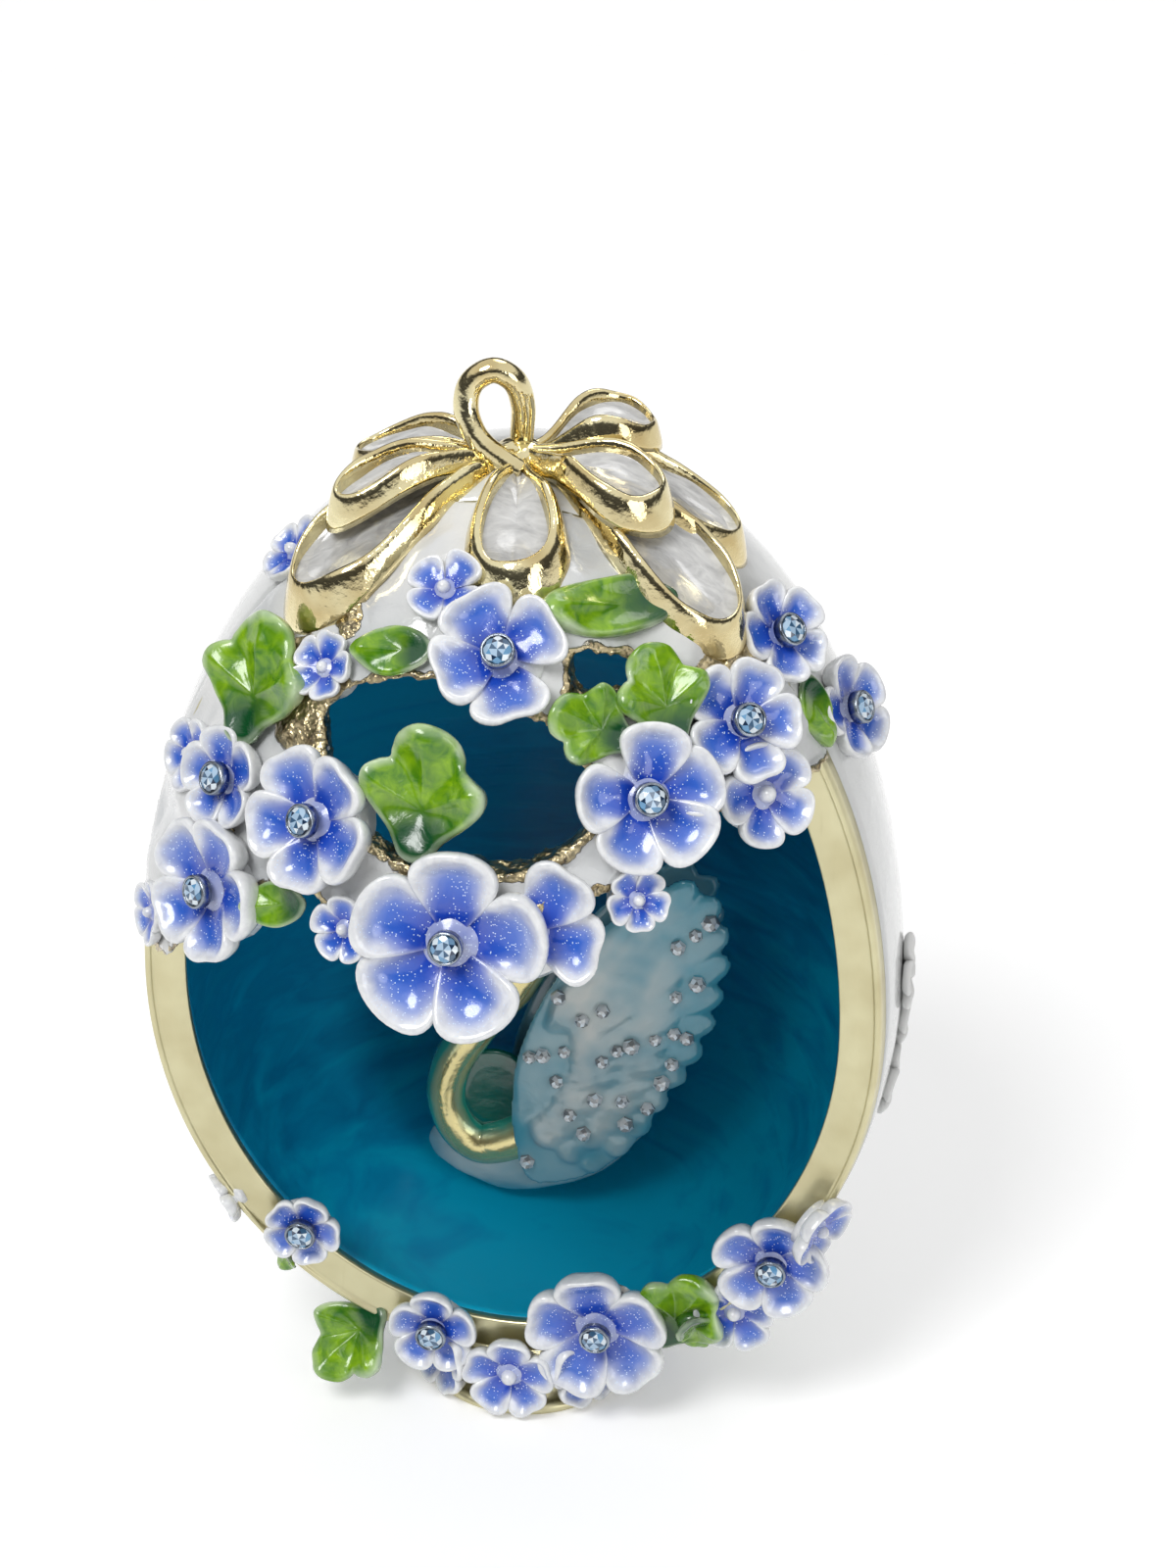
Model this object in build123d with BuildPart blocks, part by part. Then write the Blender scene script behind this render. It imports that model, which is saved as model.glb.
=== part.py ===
from build123d import *
import math
import os

# A gold-plated, enamelled egg with a flat front opening, a swan inside, a garland of
# blossoms over the upper front, a ribbon bow on top and a low foot with a wreath.
# The axis of the egg is Z, the opening faces -Y, and the table is at height zero.
# The egg's skin is a fine polyhedron on two half ellipses, so whatever sits on it
# meets flat faces and seats without a gap.

os.makedirs("parts", exist_ok=True)

# Egg
egg_radius = 33.0
egg_upper = 48.9
egg_lower = 38.4
foot_rise = 4.4
egg_sides = 32
egg_rings = 7
hollow_sides = 20
hollow_rings = 5

# Opening, shell and lining
opening_depth = 7.8
band_thickness = 1.2
bead_width = 0.6
bead_height = 0.35
shell_wall = 3.1
lining_thickness = 0.5
openwork_wall = 2.0
parting_gap = 0.3

# Blossoms and leaves
flower_diameter = 15.0
flower_lift = 2.4
flower_root = 1.8
petal_sides = 8
small_petal_sides = 6
dish_depth = 0.7
dish_taper = 50
relief_diameter = 6.5
relief_lift = 0.9
leaf_length = 10.5
leaf_lift = 1.5
leaf_root = 1.4
vein_depth = 0.4

# Crystals and their cups
crystal_radius = 1.15
crystal_depth = 0.6
crown_height = 0.35
crown_taper = 45
crystal_sides = 8
cup_wall = 0.3
cup_height = 0.9
cup_floor = 0.2

# Bow and its standing loop
loop_reach = 22.3
loop_width = 10.0
loop_tail = 1.75
loop_sides = 10
ribbon_width = 1.6
ribbon_height = 2.2
enamel_drop = 1.0
knot_radius = 2.6
knot_height = 1.5
knot_dome = 0.8
hanger_height = 7.4
hanger_width = 6.6
hanger_wire = 1.7
hanger_lean = 14
hanger_turn = 10
hanger_open = 40
hanger_steps = 12
wire_sides = 7

# Foot and its wreath
foot_radius = 9.6
foot_waist = 8.6
foot_edge = 1.0
wreath_diameter = 7.2
wreath_blossoms = 8
wreath_lift = 1.9

# Swan
swan_depth = 9.0
swan_height = 31.0
body_length = 23.0
body_height = 11.5
body_width = 10.0
body_tilt = 22
body_rings = 7
body_sides = 10
wing_thickness = 1.6
wing_spread = 4.0
feather_width = 4.0
shoulder_width = 6.0
neck_base = 4.6
neck_top = 3.0
head_width = 3.6
wing_crystal_radius = 0.55
wing_crystal_height = 0.6
wing_crystal_sides = 6

# Sizes that follow
equator = foot_rise + egg_lower
top_pole = equator + egg_upper
band_width = shell_wall + lining_thickness
shell_cut = opening_depth - band_thickness
openwork_back = opening_depth + bead_height + parting_gap
facet_span = math.hypot(math.tau * egg_radius / egg_sides, math.pi / 2 * egg_upper / egg_rings)


def egg_points(inset, sides, rings, lowest_ring):
    """Corners of the egg's skin, drawn in by a wall. Rings are counted from the equator,
    and the lower pole belongs to the lowest ring of the whole egg."""
    points = [(0, 0, top_pole - inset)]
    if lowest_ring < 0:
        points.append((0, 0, foot_rise + inset))
    for ring in range(lowest_ring, rings):
        climb = math.radians(90 * ring / rings)
        half = (egg_upper if ring > 0 else egg_lower) - inset
        radius, level = (egg_radius - inset) * math.cos(climb), equator + half * math.sin(climb)
        for side in range(sides):
            around = math.tau * side / sides
            points.append((radius * math.sin(around), radius * math.cos(around), level))
    return points


def hull(points):
    """The convex solid with these corners."""
    with BuildPart() as body:
        ConvexPolyhedron(points)
    return body.part


skin_points = egg_points(0, egg_sides, egg_rings, 1 - egg_rings)
full_egg = hull(skin_points)
lined_egg = hull(egg_points(shell_wall, hollow_sides, hollow_rings, 1 - hollow_rings))
hollow_egg = hull(egg_points(band_width, hollow_sides, hollow_rings, 1 - hollow_rings))


def egg_slice(outer, inner, back, front):
    """The wall between two eggs, cut off at two upright planes in front of the axis."""
    with BuildPart() as wall:
        add(outer)
        add(inner, mode=Mode.SUBTRACT)
        if back is not None:
            split(bisect_by=Plane.XZ.offset(back), keep=Keep.TOP)
        if front is not None:
            split(bisect_by=Plane.XZ.offset(front), keep=Keep.BOTTOM)
    return wall.part


def egg_under(seat, reach, behind_opening=False):
    """The egg's skin within reach of a seat, with its own facets, down to the centre."""
    near = [point for point in skin_points if (Vector(*point) - seat.origin).length < reach + facet_span]
    cap = hull([*near, (0, 0, equator)])
    if behind_opening:
        cap = split(cap, bisect_by=Plane.XZ.offset(opening_depth), keep=Keep.BOTTOM)
    return cap


def skin_plane(turn, height_share, facing_share=1, tilt_share=1):
    """A plane on the egg's skin. turn is in degrees from the front towards +X. Below one,
    facing_share swings its face from the skin's own direction to the front, and tilt_share
    brings it upright."""
    half = egg_upper if height_share > 0 else egg_lower
    around, facing = math.radians(turn), math.radians(turn * facing_share)
    radius, level = egg_radius * math.sqrt(1 - height_share**2), half * height_share
    out, rise = radius / egg_radius**2, level / half**2
    return Plane(
        origin=(radius * math.sin(around), -radius * math.cos(around), equator + level),
        x_dir=(math.cos(facing), math.sin(facing), 0),
        z_dir=(out * math.sin(facing), -out * math.cos(facing), rise * tilt_share),
    )


def rim_plane(angle, inset_share):
    """A plane on the band's face. angle is in degrees round the opening from its lowest
    point towards +X, and inset_share goes from the band's outer edge to its inner one."""
    squeeze = math.sqrt(1 - (opening_depth / egg_radius) ** 2)
    inset = inset_share * band_width
    side = (egg_radius * squeeze - inset) * math.sin(math.radians(angle))
    down = (egg_lower * squeeze - inset) * math.cos(math.radians(angle))
    return Plane(origin=(side, -opening_depth, equator - down), x_dir=(1, 0, 0), z_dir=(0, -1, 0))


def foot_plane(turn):
    """A plane on the side of the foot, at the height of the wreath's blossoms."""
    around = math.radians(turn)
    return Plane(
        origin=(foot_waist * math.sin(around), -foot_waist * math.cos(around), wreath_diameter / 2),
        x_dir=(math.cos(around), math.sin(around), 0),
        z_dir=(math.sin(around), -math.cos(around), 0),
    )


def keep(part, label):
    """Labels a finished piece and writes it."""
    part.label = label
    export_step(part, f"parts/{label}.step")
    return part


def meets(part, other):
    """Whether the boxes round two pieces meet."""
    box, other_box = part.bounding_box(), other.bounding_box()
    return all(
        max(low, other_low) < min(high, other_high)
        for low, other_low, high, other_high in zip(box.min, other_box.min, box.max, other_box.max)
    )


def trimmed(part, *cutters):
    """The largest solid left of a piece without what its neighbours take up."""
    with BuildPart() as rest:
        add(part)
        for cutter in cutters:
            if meets(part, cutter):
                add(cutter, mode=Mode.SUBTRACT)
    return rest.part.solids().sort_by(SortBy.VOLUME)[-1]


def group(parts):
    """Separate solids in one piece."""
    return Compound(children=list(parts))


# Rear shell, lining and the gold band round the opening, with its raised outer bead
keep(egg_slice(full_egg, lined_egg, None, shell_cut), "rear_shell")
keep(egg_slice(lined_egg, hollow_egg, None, shell_cut), "inner_lining")
with BuildPart() as rim_band:
    add(egg_slice(full_egg, hollow_egg, shell_cut, opening_depth))
    bead_core = hull(egg_points(bead_width, egg_sides, egg_rings, 1 - egg_rings))
    add(egg_slice(full_egg, bead_core, opening_depth, opening_depth + bead_height))
keep(rim_band.part, "rim_band")

# Openwork front: the pierced casting that closes the upper front and carries the
# garland. Its lower edge and windows are seen from the front, as shares of the egg's
# half width and of its upper height.
garland_edge_shares = [
    (-1.1, 0.15), (-0.86, 0.16), (-0.72, 0.29), (-0.6, 0.37), (-0.42, 0.46), (-0.28, 0.39),
    (-0.15, 0.34), (0.03, 0.33), (0.15, 0.39), (0.3, 0.45), (0.42, 0.51), (0.57, 0.55), (0.72, 0.51),
    (1.1, 0.47),
]
below_egg_shares = [(1.1, -1), (-1.1, -1)]
large_window_shares = [
    (-0.375, 0.68), (-0.33, 0.74), (-0.21, 0.775), (-0.1, 0.78), (0, 0.745), (0.12, 0.725),
    (0.2, 0.70), (0.26, 0.655), (0.3, 0.60), (0.24, 0.56), (0.12, 0.53), (0, 0.54),
    (-0.14, 0.53), (-0.3, 0.58),
]
small_window_shares = [
    (0.22, 0.82), (0.3, 0.815), (0.38, 0.79), (0.39, 0.755), (0.31, 0.76), (0.23, 0.77),
]
with BuildPart() as front_openwork:
    dome_core = hull(egg_points(openwork_wall, hollow_sides, hollow_rings, 0))
    add(egg_slice(hull(egg_points(0, egg_sides, egg_rings, 0)), dome_core, openwork_back, None))
    for shares in (garland_edge_shares + below_egg_shares, large_window_shares, small_window_shares):
        with BuildSketch(Plane.XZ.offset(openwork_back)):
            with BuildLine():
                outline = [(egg_radius * across, equator + egg_upper * up) for across, up in shares]
                Polyline(*outline, close=True)
            make_face()
        extrude(amount=egg_radius, mode=Mode.SUBTRACT)
keep(front_openwork.part, "front_openwork")

# Foot: a low round stand whose top is hollowed to the egg
with BuildPart() as foot_ring:
    with BuildSketch():
        RegularPolygon(foot_radius, egg_sides)
    extrude(amount=foot_edge)
    with BuildSketch(Plane.XY.offset(foot_edge)):
        RegularPolygon(foot_waist, egg_sides)
    extrude(amount=foot_rise + foot_waist / 2)
    add(egg_under(Plane.XY.offset(foot_rise), foot_waist), mode=Mode.SUBTRACT)
foot = foot_ring.part.solids().sort_by(Axis.Z)[0]
keep(foot, "foot_ring")

# Blossoms. Each is a lobed plate with a dished face, standing on what carries it.
petal_radius_share = 0.2
petal_reach_share = 0.3
dish_share = 0.3


def flower(seat, diameter, petals, spin, lift, root, cutters, dished=True):
    """A blossom on a seat, cut back to the surfaces and blossoms that it meets. Its back
    lies below the seat by root, where it follows a curved surface."""
    sides = petal_sides if diameter > flower_diameter / 2 else small_petal_sides
    with BuildPart() as blossom:
        with BuildSketch(seat.offset(lift)):
            with PolarLocations(diameter * petal_reach_share, petals, start_angle=spin):
                RegularPolygon(diameter * petal_radius_share, sides)
            RegularPolygon(diameter * petal_reach_share, sides)
        extrude(amount=-lift - root)
        if dished:
            with BuildSketch(seat.offset(lift)):
                RegularPolygon(diameter * dish_share, sides)
            depth = dish_depth * diameter / flower_diameter
            extrude(amount=-depth, taper=dish_taper, mode=Mode.SUBTRACT)
    return trimmed(blossom.part, *cutters)


# name: turn, height share, size share, petals, spin, facing share, lift share
garland_flower_places = {
    "garland_flower_4": (-1, 0.42, 1.0, 5, 90, 1, 1.0),
    "garland_flower_6": (32, 0.62, 0.78, 5, 76, 0.7, 1.0),
    "garland_flower_11": (5, 0.82, 0.71, 4, 33, 1, 1.0),
    "garland_flower_3": (-26, 0.56, 0.68, 5, 100, 0.7, 1.0),
    "garland_flower_1": (-44, 0.38, 0.74, 5, 80, 0.65, 1.05),
    "garland_flower_7": (55, 0.68, 0.64, 5, 60, 0.65, 1.1),
    "garland_flower_2": (-48, 0.55, 0.58, 5, 110, 0.6, 0.9),
    "garland_flower_9": (79, 0.74, 0.56, 5, 95, 0.7, 0.8),
    "garland_flower_10": (88, 0.57, 0.55, 5, 85, 0.8, 0.8),
    "garland_flower_5": (16, 0.46, 0.5, 5, 60, 0.9, 0.55),
    "garland_flower_8": (55, 0.57, 0.55, 5, 30, 0.7, 0.6),
    "garland_flower_12": (-13, 0.89, 0.4, 4, 60, 0.9, 0.6),
    "garland_flower_13": (-36, 0.76, 0.36, 5, 90, 0.8, 0.55),
    "garland_flower_14": (-18, 0.41, 0.36, 5, 20, 1, 0.4),
    "garland_flower_15": (28, 0.475, 0.34, 5, 50, 1, 0.45),
    "garland_flower_16": (-64, 0.52, 0.4, 5, 0, 0.8, 0.45),
    "garland_flower_17": (-76, 0.83, 0.4, 5, 40, 0.9, 0.5),
    "garland_flower_18": (-64, 0.22, 0.36, 5, 15, 0.9, 0.45),
}
# Blossoms that are larger and stand higher than these shares carry a crystal
crystal_size_share, crystal_lift_share = 0.54, 0.7
crystal_seats = []
garland_flowers = {}
for name, (turn, height_share, size_share, petals, spin, facing_share, lift_share) in (
    garland_flower_places.items()
):
    seat, diameter = skin_plane(turn, height_share, facing_share), flower_diameter * size_share
    lift = flower_lift * lift_share
    cutters = [egg_under(seat, diameter / 2), *garland_flowers.values()]
    garland_flowers[name] = keep(
        flower(seat, diameter, petals, spin, lift, flower_root, cutters), name
    )
    if size_share > crystal_size_share and lift_share > crystal_lift_share:
        crystal_seats.append(seat.offset(lift - dish_depth * size_share))

# Blossoms on the band and, behind it, on the sides of the shell
rim_flower_places = {
    "rim_flower_3": (16, 0.94, 0.86, 5, 100, 1.1),
    "rim_flower_4": (49, 0.3, 0.66, 5, 80, 0.9),
    "rim_flower_2": (-13.5, 0.55, 0.52, 5, 90, 0.9),
    "rim_flower_1": (-42, 1.15, 0.45, 5, 70, 0.8),
}
rim_flowers = {}
for name, (angle, inset_share, size_share, petals, spin, lift_share) in rim_flower_places.items():
    seat, lift = rim_plane(angle, inset_share), flower_lift * lift_share
    cutters = [rim_band.part, foot, *rim_flowers.values()]
    rim_flowers[name] = keep(
        flower(seat, flower_diameter * size_share, petals, spin, lift, 0, cutters), name
    )
    crystal_seats.append(seat.offset(lift - dish_depth * size_share))
rim_pieces = [rim_band.part, *rim_flowers.values()]

low_flower_angle, low_flower_inset_share, low_flower_share, low_flower_spin = 38, -0.15, 0.47, 20
side_flowers = [
    flower(
        rim_plane(low_flower_angle, low_flower_inset_share), flower_diameter * low_flower_share, 5,
        low_flower_spin, flower_lift / 2, 0, rim_pieces,
    )
]
# turn, height share, size share, spin
side_flower_places = [(72, -0.5, 0.42, 60), (-66, -0.6, 0.36, 10)]
side_facing_share, side_tilt_share = 0.8, 0.6
for turn, height_share, size_share, spin in side_flower_places:
    seat = skin_plane(turn, height_share, side_facing_share, side_tilt_share)
    diameter = flower_diameter * size_share
    cutters = [egg_under(seat, diameter / 2, behind_opening=True), *rim_pieces]
    side_flowers.append(flower(seat, diameter, 5, spin, flower_lift / 2, flower_root / 2, cutters))
keep(group(side_flowers), "side_flowers")

# Crystals in their cups, on the dished face of each larger blossom
cups, crystals = [], []
for seat in crystal_seats:
    with BuildPart() as cup:
        with BuildSketch(seat):
            RegularPolygon(crystal_radius + cup_wall, crystal_sides)
        extrude(amount=cup_height)
        with BuildSketch(seat.offset(cup_floor)):
            RegularPolygon(crystal_radius, crystal_sides)
        extrude(amount=cup_height, mode=Mode.SUBTRACT)
    with BuildPart() as crystal:
        with BuildSketch(seat.offset(cup_floor)):
            RegularPolygon(crystal_radius, crystal_sides)
        extrude(amount=crystal_depth)
        with BuildSketch(seat.offset(cup_floor + crystal_depth)):
            RegularPolygon(crystal_radius, crystal_sides)
        extrude(amount=crown_height, taper=crown_taper)
    cups.append(cup.part)
    crystals.append(crystal.part)
keep(group(cups), "crystal_cups")
keep(group(crystals), "crystals")

# Wreath round the foot: a ring of blossoms, and above them leaves against the egg
foot_flowers = []
for number in range(wreath_blossoms):
    seat = foot_plane(360 * number / wreath_blossoms)
    cutters = [
        egg_under(seat, wreath_diameter, behind_opening=True), foot, *rim_pieces, *side_flowers,
        *foot_flowers, *cups, *crystals,
    ]
    foot_flowers.append(
        flower(seat, wreath_diameter, 5, 90, wreath_lift, foot_edge, cutters, dished=False)
    )
keep(group(foot_flowers), "foot_flowers")

# Leaves. An outline runs from the stalk to the tip, as shares of the leaf's length from
# its middle, and is mirrored about the midrib.
leaf_shares = {
    "ivy": [
        (-0.5, 0.05), (-0.56, 0.3), (-0.38, 0.5), (-0.17, 0.46), (-0.06, 0.3),
        (0.12, 0.4), (0.28, 0.3), (0.34, 0.14), (0.5, 0.03),
    ],
    "oval": [(-0.5, 0.04), (-0.3, 0.22), (0, 0.3), (0.3, 0.2), (0.5, 0.03)],
    "long": [(-0.5, 0.04), (-0.35, 0.17), (-0.05, 0.21), (0.25, 0.16), (0.5, 0.03)],
}
vein_width_share, vein_reach_share = 0.05, 0.3
leaf_reach_share = 0.6


def leaf(seat, length, kind, heading, lift, root, cutters):
    """A leaf on a seat, with a groove for its midrib. heading is the way its tip points,
    in degrees on the seat."""
    half = [(length * along, length * across) for along, across in leaf_shares[kind]]
    vein = length * vein_width_share
    swing = math.radians(heading)
    blade_plane = Plane(
        origin=seat.offset(lift).origin,
        x_dir=seat.x_dir * math.cos(swing) + seat.y_dir * math.sin(swing),
        z_dir=seat.z_dir,
    )
    with BuildPart() as blade:
        with BuildSketch(blade_plane):
            with BuildLine():
                Polyline(*half, *[(along, -across) for along, across in reversed(half)], close=True)
            make_face()
        extrude(amount=-lift - root)
        with BuildSketch(blade_plane):
            with BuildLine():
                stalk = half[0][0]
                Polyline((stalk, vein), (length * vein_reach_share, 0), (stalk, -vein), close=True)
            make_face()
        extrude(amount=-vein_depth, mode=Mode.SUBTRACT)
    return trimmed(blade.part, *cutters)


# name: turn, height share, length share, kind, heading, facing share, lift share
garland_leaf_places = {
    "garland_leaf_1": (-50, 0.7, 1.05, "ivy", 95, 0.65, 1.6),
    "garland_leaf_2": (-7, 0.61, 1.05, "ivy", 85, 1, 1.4),
    "garland_leaf_3": (-21, 0.81, 0.66, "oval", 195, 0.9, 0.8),
    "garland_leaf_4": (35, 0.87, 1.15, "long", 175, 1, 0.8),
    "garland_leaf_5": (24, 0.73, 0.7, "ivy", 150, 1, 0.8),
    "garland_leaf_6": (40, 0.75, 0.8, "ivy", 95, 0.8, 1.1),
    "garland_leaf_7": (77, 0.62, 0.6, "oval", 260, 0.8, 0.6),
    "garland_leaf_8": (-31, 0.41, 0.6, "oval", 200, 0.9, 0.6),
}
garland_leaves = {}
for name, (turn, height_share, length_share, kind, heading, facing_share, lift_share) in (
    garland_leaf_places.items()
):
    seat, length = skin_plane(turn, height_share, facing_share), leaf_length * length_share
    cutters = [
        egg_under(seat, length * leaf_reach_share), rim_band.part, *garland_flowers.values(),
        *garland_leaves.values(), *cups, *crystals,
    ]
    garland_leaves[name] = keep(
        leaf(seat, length, kind, heading, leaf_lift * lift_share, leaf_root, cutters), name
    )

# A leaf between the blossoms on the band, and leaves behind the band and round the foot
rim_leaf_cutters = [*rim_pieces, *cups, *crystals, *side_flowers, *foot_flowers]
rim_leaf_angle, rim_leaf_inset_share, rim_leaf_share, rim_leaf_heading = 31, 0.6, 0.85, 60
rim_leaves = [
    leaf(
        rim_plane(rim_leaf_angle, rim_leaf_inset_share), leaf_length * rim_leaf_share, "ivy",
        rim_leaf_heading, leaf_lift, 0, rim_leaf_cutters,
    )
]
# turn, height share, heading
side_leaf_places = [(-55, -0.8, 240), (44, -0.85, -75)]
side_leaf_share, side_leaf_facing_share, side_leaf_tilt_share = 0.6, 0.6, 0.5
for turn, height_share, heading in side_leaf_places:
    seat = skin_plane(turn, height_share, side_leaf_facing_share, side_leaf_tilt_share)
    length = leaf_length * side_leaf_share
    cutters = [egg_under(seat, length, behind_opening=True), *rim_leaf_cutters]
    rim_leaves.append(leaf(seat, length, "oval", heading, leaf_lift / 2, leaf_root, cutters))
keep(group(rim_leaves), "rim_leaves")

# turn, facing share, heading
foot_leaf_places = [
    (-58, 0.35, -120), (56, 0.6, -60), (105, 1, -90), (180, 1, -90), (255, 1, -90),
]
foot_leaf_height_share, foot_leaf_tilt_share, foot_leaf_share = -0.88, 0.25, 0.8
foot_leaves = []
for turn, facing_share, heading in foot_leaf_places:
    seat = skin_plane(turn, foot_leaf_height_share, facing_share, foot_leaf_tilt_share)
    length = leaf_length * foot_leaf_share
    cutters = [
        egg_under(seat, length, behind_opening=True), foot, *rim_leaf_cutters, *rim_leaves, *foot_leaves,
    ]
    foot_leaves.append(leaf(seat, length, "ivy", heading, leaf_lift, leaf_lift, cutters))
keep(group(foot_leaves), "foot_leaves")

# Relief blossoms: a white spray on each side of the shell
relief_turns = (97, 263)
relief_steps = [(-3, 0.02), (3, -0.13), (-1, -0.28)]
relief_places = [
    (cluster + step, height_share) for cluster in relief_turns for step, height_share in relief_steps
]
relief = []
for turn, height_share in relief_places:
    seat = skin_plane(turn, height_share)
    cutters = [egg_under(seat, relief_diameter), *relief]
    relief.append(
        flower(seat, relief_diameter, 5, turn, relief_lift, relief_lift, cutters, dished=False)
    )
keep(group(relief), "shell_relief")

# Bow: eight teardrop loops seen from above, cut from layers that follow the egg
# name: turn, reach share, width share, layer. The upper layer comes first.
loop_places = {
    "bow_loop_1": (62, 0.67, 0.8, 1),
    "bow_loop_2": (-58, 0.76, 0.72, 1),
    "bow_loop_3": (115, 0.54, 0.68, 1),
    "bow_loop_4": (8, 0.755, 0.74, 0),
    "bow_loop_5": (63, 1.0, 1.0, 0),
    "bow_loop_6": (-55, 0.955, 0.95, 0),
    "bow_loop_7": (92, 0.865, 0.9, 0),
    "bow_loop_8": (-88, 0.62, 0.72, 0),
}
crown_ring = 1
upper_skin = hull(egg_points(0, egg_sides, egg_rings, crown_ring))
layer_tops, enamel_tops = [
    [
        hull(egg_points(drop - layer * ribbon_height, hollow_sides, hollow_rings, crown_ring))
        for layer in (1, 2)
    ]
    for drop in (0, enamel_drop)
]
layer_floors = [upper_skin, layer_tops[0]]


def teardrop(turn, reach, width, inset):
    """A prism over a loop's plan, drawn in by the ribbon's width."""
    with BuildPart() as prism:
        with BuildSketch(Plane.XY.offset(equator).rotated((0, 0, turn - 90))):
            with Locations((knot_radius, 0)):
                RegularPolygon(loop_tail - inset / 2, loop_sides)
            with Locations((reach - width / 2, 0)):
                RegularPolygon(width / 2 - inset, loop_sides)
            make_hull()
        extrude(amount=2 * egg_upper)
    return prism.part


with BuildPart() as bow_knot:
    with BuildSketch(Plane.XY.offset(top_pole - knot_height)):
        RegularPolygon(knot_radius, hollow_sides)
    extrude(amount=knot_height + 2 * ribbon_height)
    with BuildSketch(Plane.XY.offset(top_pole + 2 * ribbon_height)):
        RegularPolygon(knot_radius, hollow_sides)
    extrude(amount=knot_dome, taper=dish_taper)
    add(upper_skin, mode=Mode.SUBTRACT)
keep(bow_knot.part, "bow_knot")

loops, enamels = [bow_knot.part], []
for name, (turn, reach_share, width_share, layer) in loop_places.items():
    reach, width = loop_reach * reach_share, loop_width * width_share
    outer, cell = teardrop(turn, reach, width, 0), teardrop(turn, reach, width, ribbon_width)
    with BuildPart() as ribbon:
        add(outer)
        add(layer_tops[layer], mode=Mode.INTERSECT)
        add(cell, mode=Mode.SUBTRACT)
    with BuildPart() as enamel:
        add(cell)
        add(enamel_tops[layer], mode=Mode.INTERSECT)
    neighbours = [layer_floors[layer], *loops, *garland_flowers.values(), *garland_leaves.values()]
    enamels.append(trimmed(enamel.part, *neighbours))
    loops.append(keep(trimmed(ribbon.part, *neighbours), name))
keep(group(enamels), "bow_enamel")


# Standing loop: a wire bent to a teardrop, whose ends are let into the knot
def wire(points, radii, across):
    """A tapering tube through points, in flat-sided lengths that meet at their ends."""
    rings = []
    for index, (point, radius) in enumerate(zip(points, radii)):
        along = (points[min(index + 1, len(points) - 1)] - points[max(index - 1, 0)]).normalized()
        side = across.cross(along).normalized()
        other = along.cross(side)
        rings.append(
            [
                point + side * (radius * math.cos(angle)) + other * (radius * math.sin(angle))
                for angle in (math.tau * step / wire_sides for step in range(wire_sides))
            ]
        )
    with BuildPart() as tube:
        for near, far in zip(rings, rings[1:]):
            ConvexPolyhedron([*near, *far])
    return tube.part


hanger_points = []
widest_share = 0.65
for step in range(hanger_steps + 1):
    swing = math.radians(hanger_open + (360 - 2 * hanger_open) * step / hanger_steps)
    up = hanger_height * (1 - math.cos(swing)) / 2
    aside = hanger_width / 2 / widest_share * math.sin(swing) * math.sin(swing / 2) ** 2
    hanger_points.append(Vector(-aside, 0, up).rotate(Axis.Y, -hanger_lean).rotate(Axis.Z, hanger_turn))
hanger_foot = Vector(0, 0, top_pole + knot_height)
hanger = wire(
    [hanger_foot + point for point in hanger_points],
    [hanger_wire / 2] * len(hanger_points),
    Vector(0, 1, 0).rotate(Axis.Z, hanger_turn),
)
keep(trimmed(hanger, *loops), "hanging_loop")


# Swan, standing on the lining inside the egg. Its side view is drawn from the front, in
# shares of its height from the floor of the hollow.
def swan_plane(forward):
    """The swan's side view, moved forward from its middle towards the opening."""
    return Plane(
        origin=(0, swan_depth - forward, foot_rise + band_width), x_dir=(1, 0, 0), z_dir=(0, -1, 0)
    )


def swan_point(across_share, up_share):
    return Vector(swan_height * across_share, swan_height * up_share)


body_share = (0.06, 0.25)
body_centre = swan_plane(0).from_local_coords(swan_point(*body_share))
body_points = []
for ring in range(1, body_rings):
    tilt = math.pi * ring / body_rings
    for side in range(body_sides):
        angle = math.tau * side / body_sides
        point = Vector(
            -body_length / 2 * math.cos(tilt),
            body_width / 2 * math.sin(tilt) * math.cos(angle),
            body_height / 2 * math.sin(tilt) * math.sin(angle),
        )
        body_points.append(body_centre + point.rotate(Axis.Y, -body_tilt))
with BuildPart() as swan_body:
    ConvexPolyhedron(body_points)
    add(hollow_egg, mode=Mode.INTERSECT)
keep(swan_body.part, "swan_body")

shoulder_share = (-0.02, 0.66)
leading_edge_shares = [(-0.04, 0.84), (0.15, 1.06)]
wing_root_shares = [(0.05, 0.26), (-0.07, 0.38)]
feather_shares = [
    (0.42, 1.28), (0.48, 1.19), (0.5, 1.08), (0.48, 0.96), (0.44, 0.83),
    (0.39, 0.73), (0.33, 0.64), (0.3, 0.55), (0.26, 0.46), (0.17, 0.36),
]
shoulder = swan_point(*shoulder_share)
feather_tips = [swan_point(*shares) for shares in feather_shares]


def wing(forward):
    """A raised wing: a fan from the shoulder that ends in rounded feathers."""
    with BuildPart() as fan:
        with BuildSketch(swan_plane(forward)):
            with BuildLine():
                leading_edge = [swan_point(*shares) for shares in leading_edge_shares]
                wing_root = [swan_point(*shares) for shares in wing_root_shares]
                Polyline(shoulder, *leading_edge, *feather_tips, *wing_root, close=True)
            make_face()
            with Locations(*feather_tips):
                RegularPolygon(feather_width / 2, petal_sides)
            with Locations(shoulder):
                RegularPolygon(shoulder_width / 2, petal_sides)
        extrude(amount=wing_thickness)
    return fan.part


near_wing = trimmed(wing(wing_spread - wing_thickness), swan_body.part)
far_wing = trimmed(wing(-wing_spread), swan_body.part)
keep(near_wing, "swan_near_wing")
keep(far_wing, "swan_far_wing")

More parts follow.
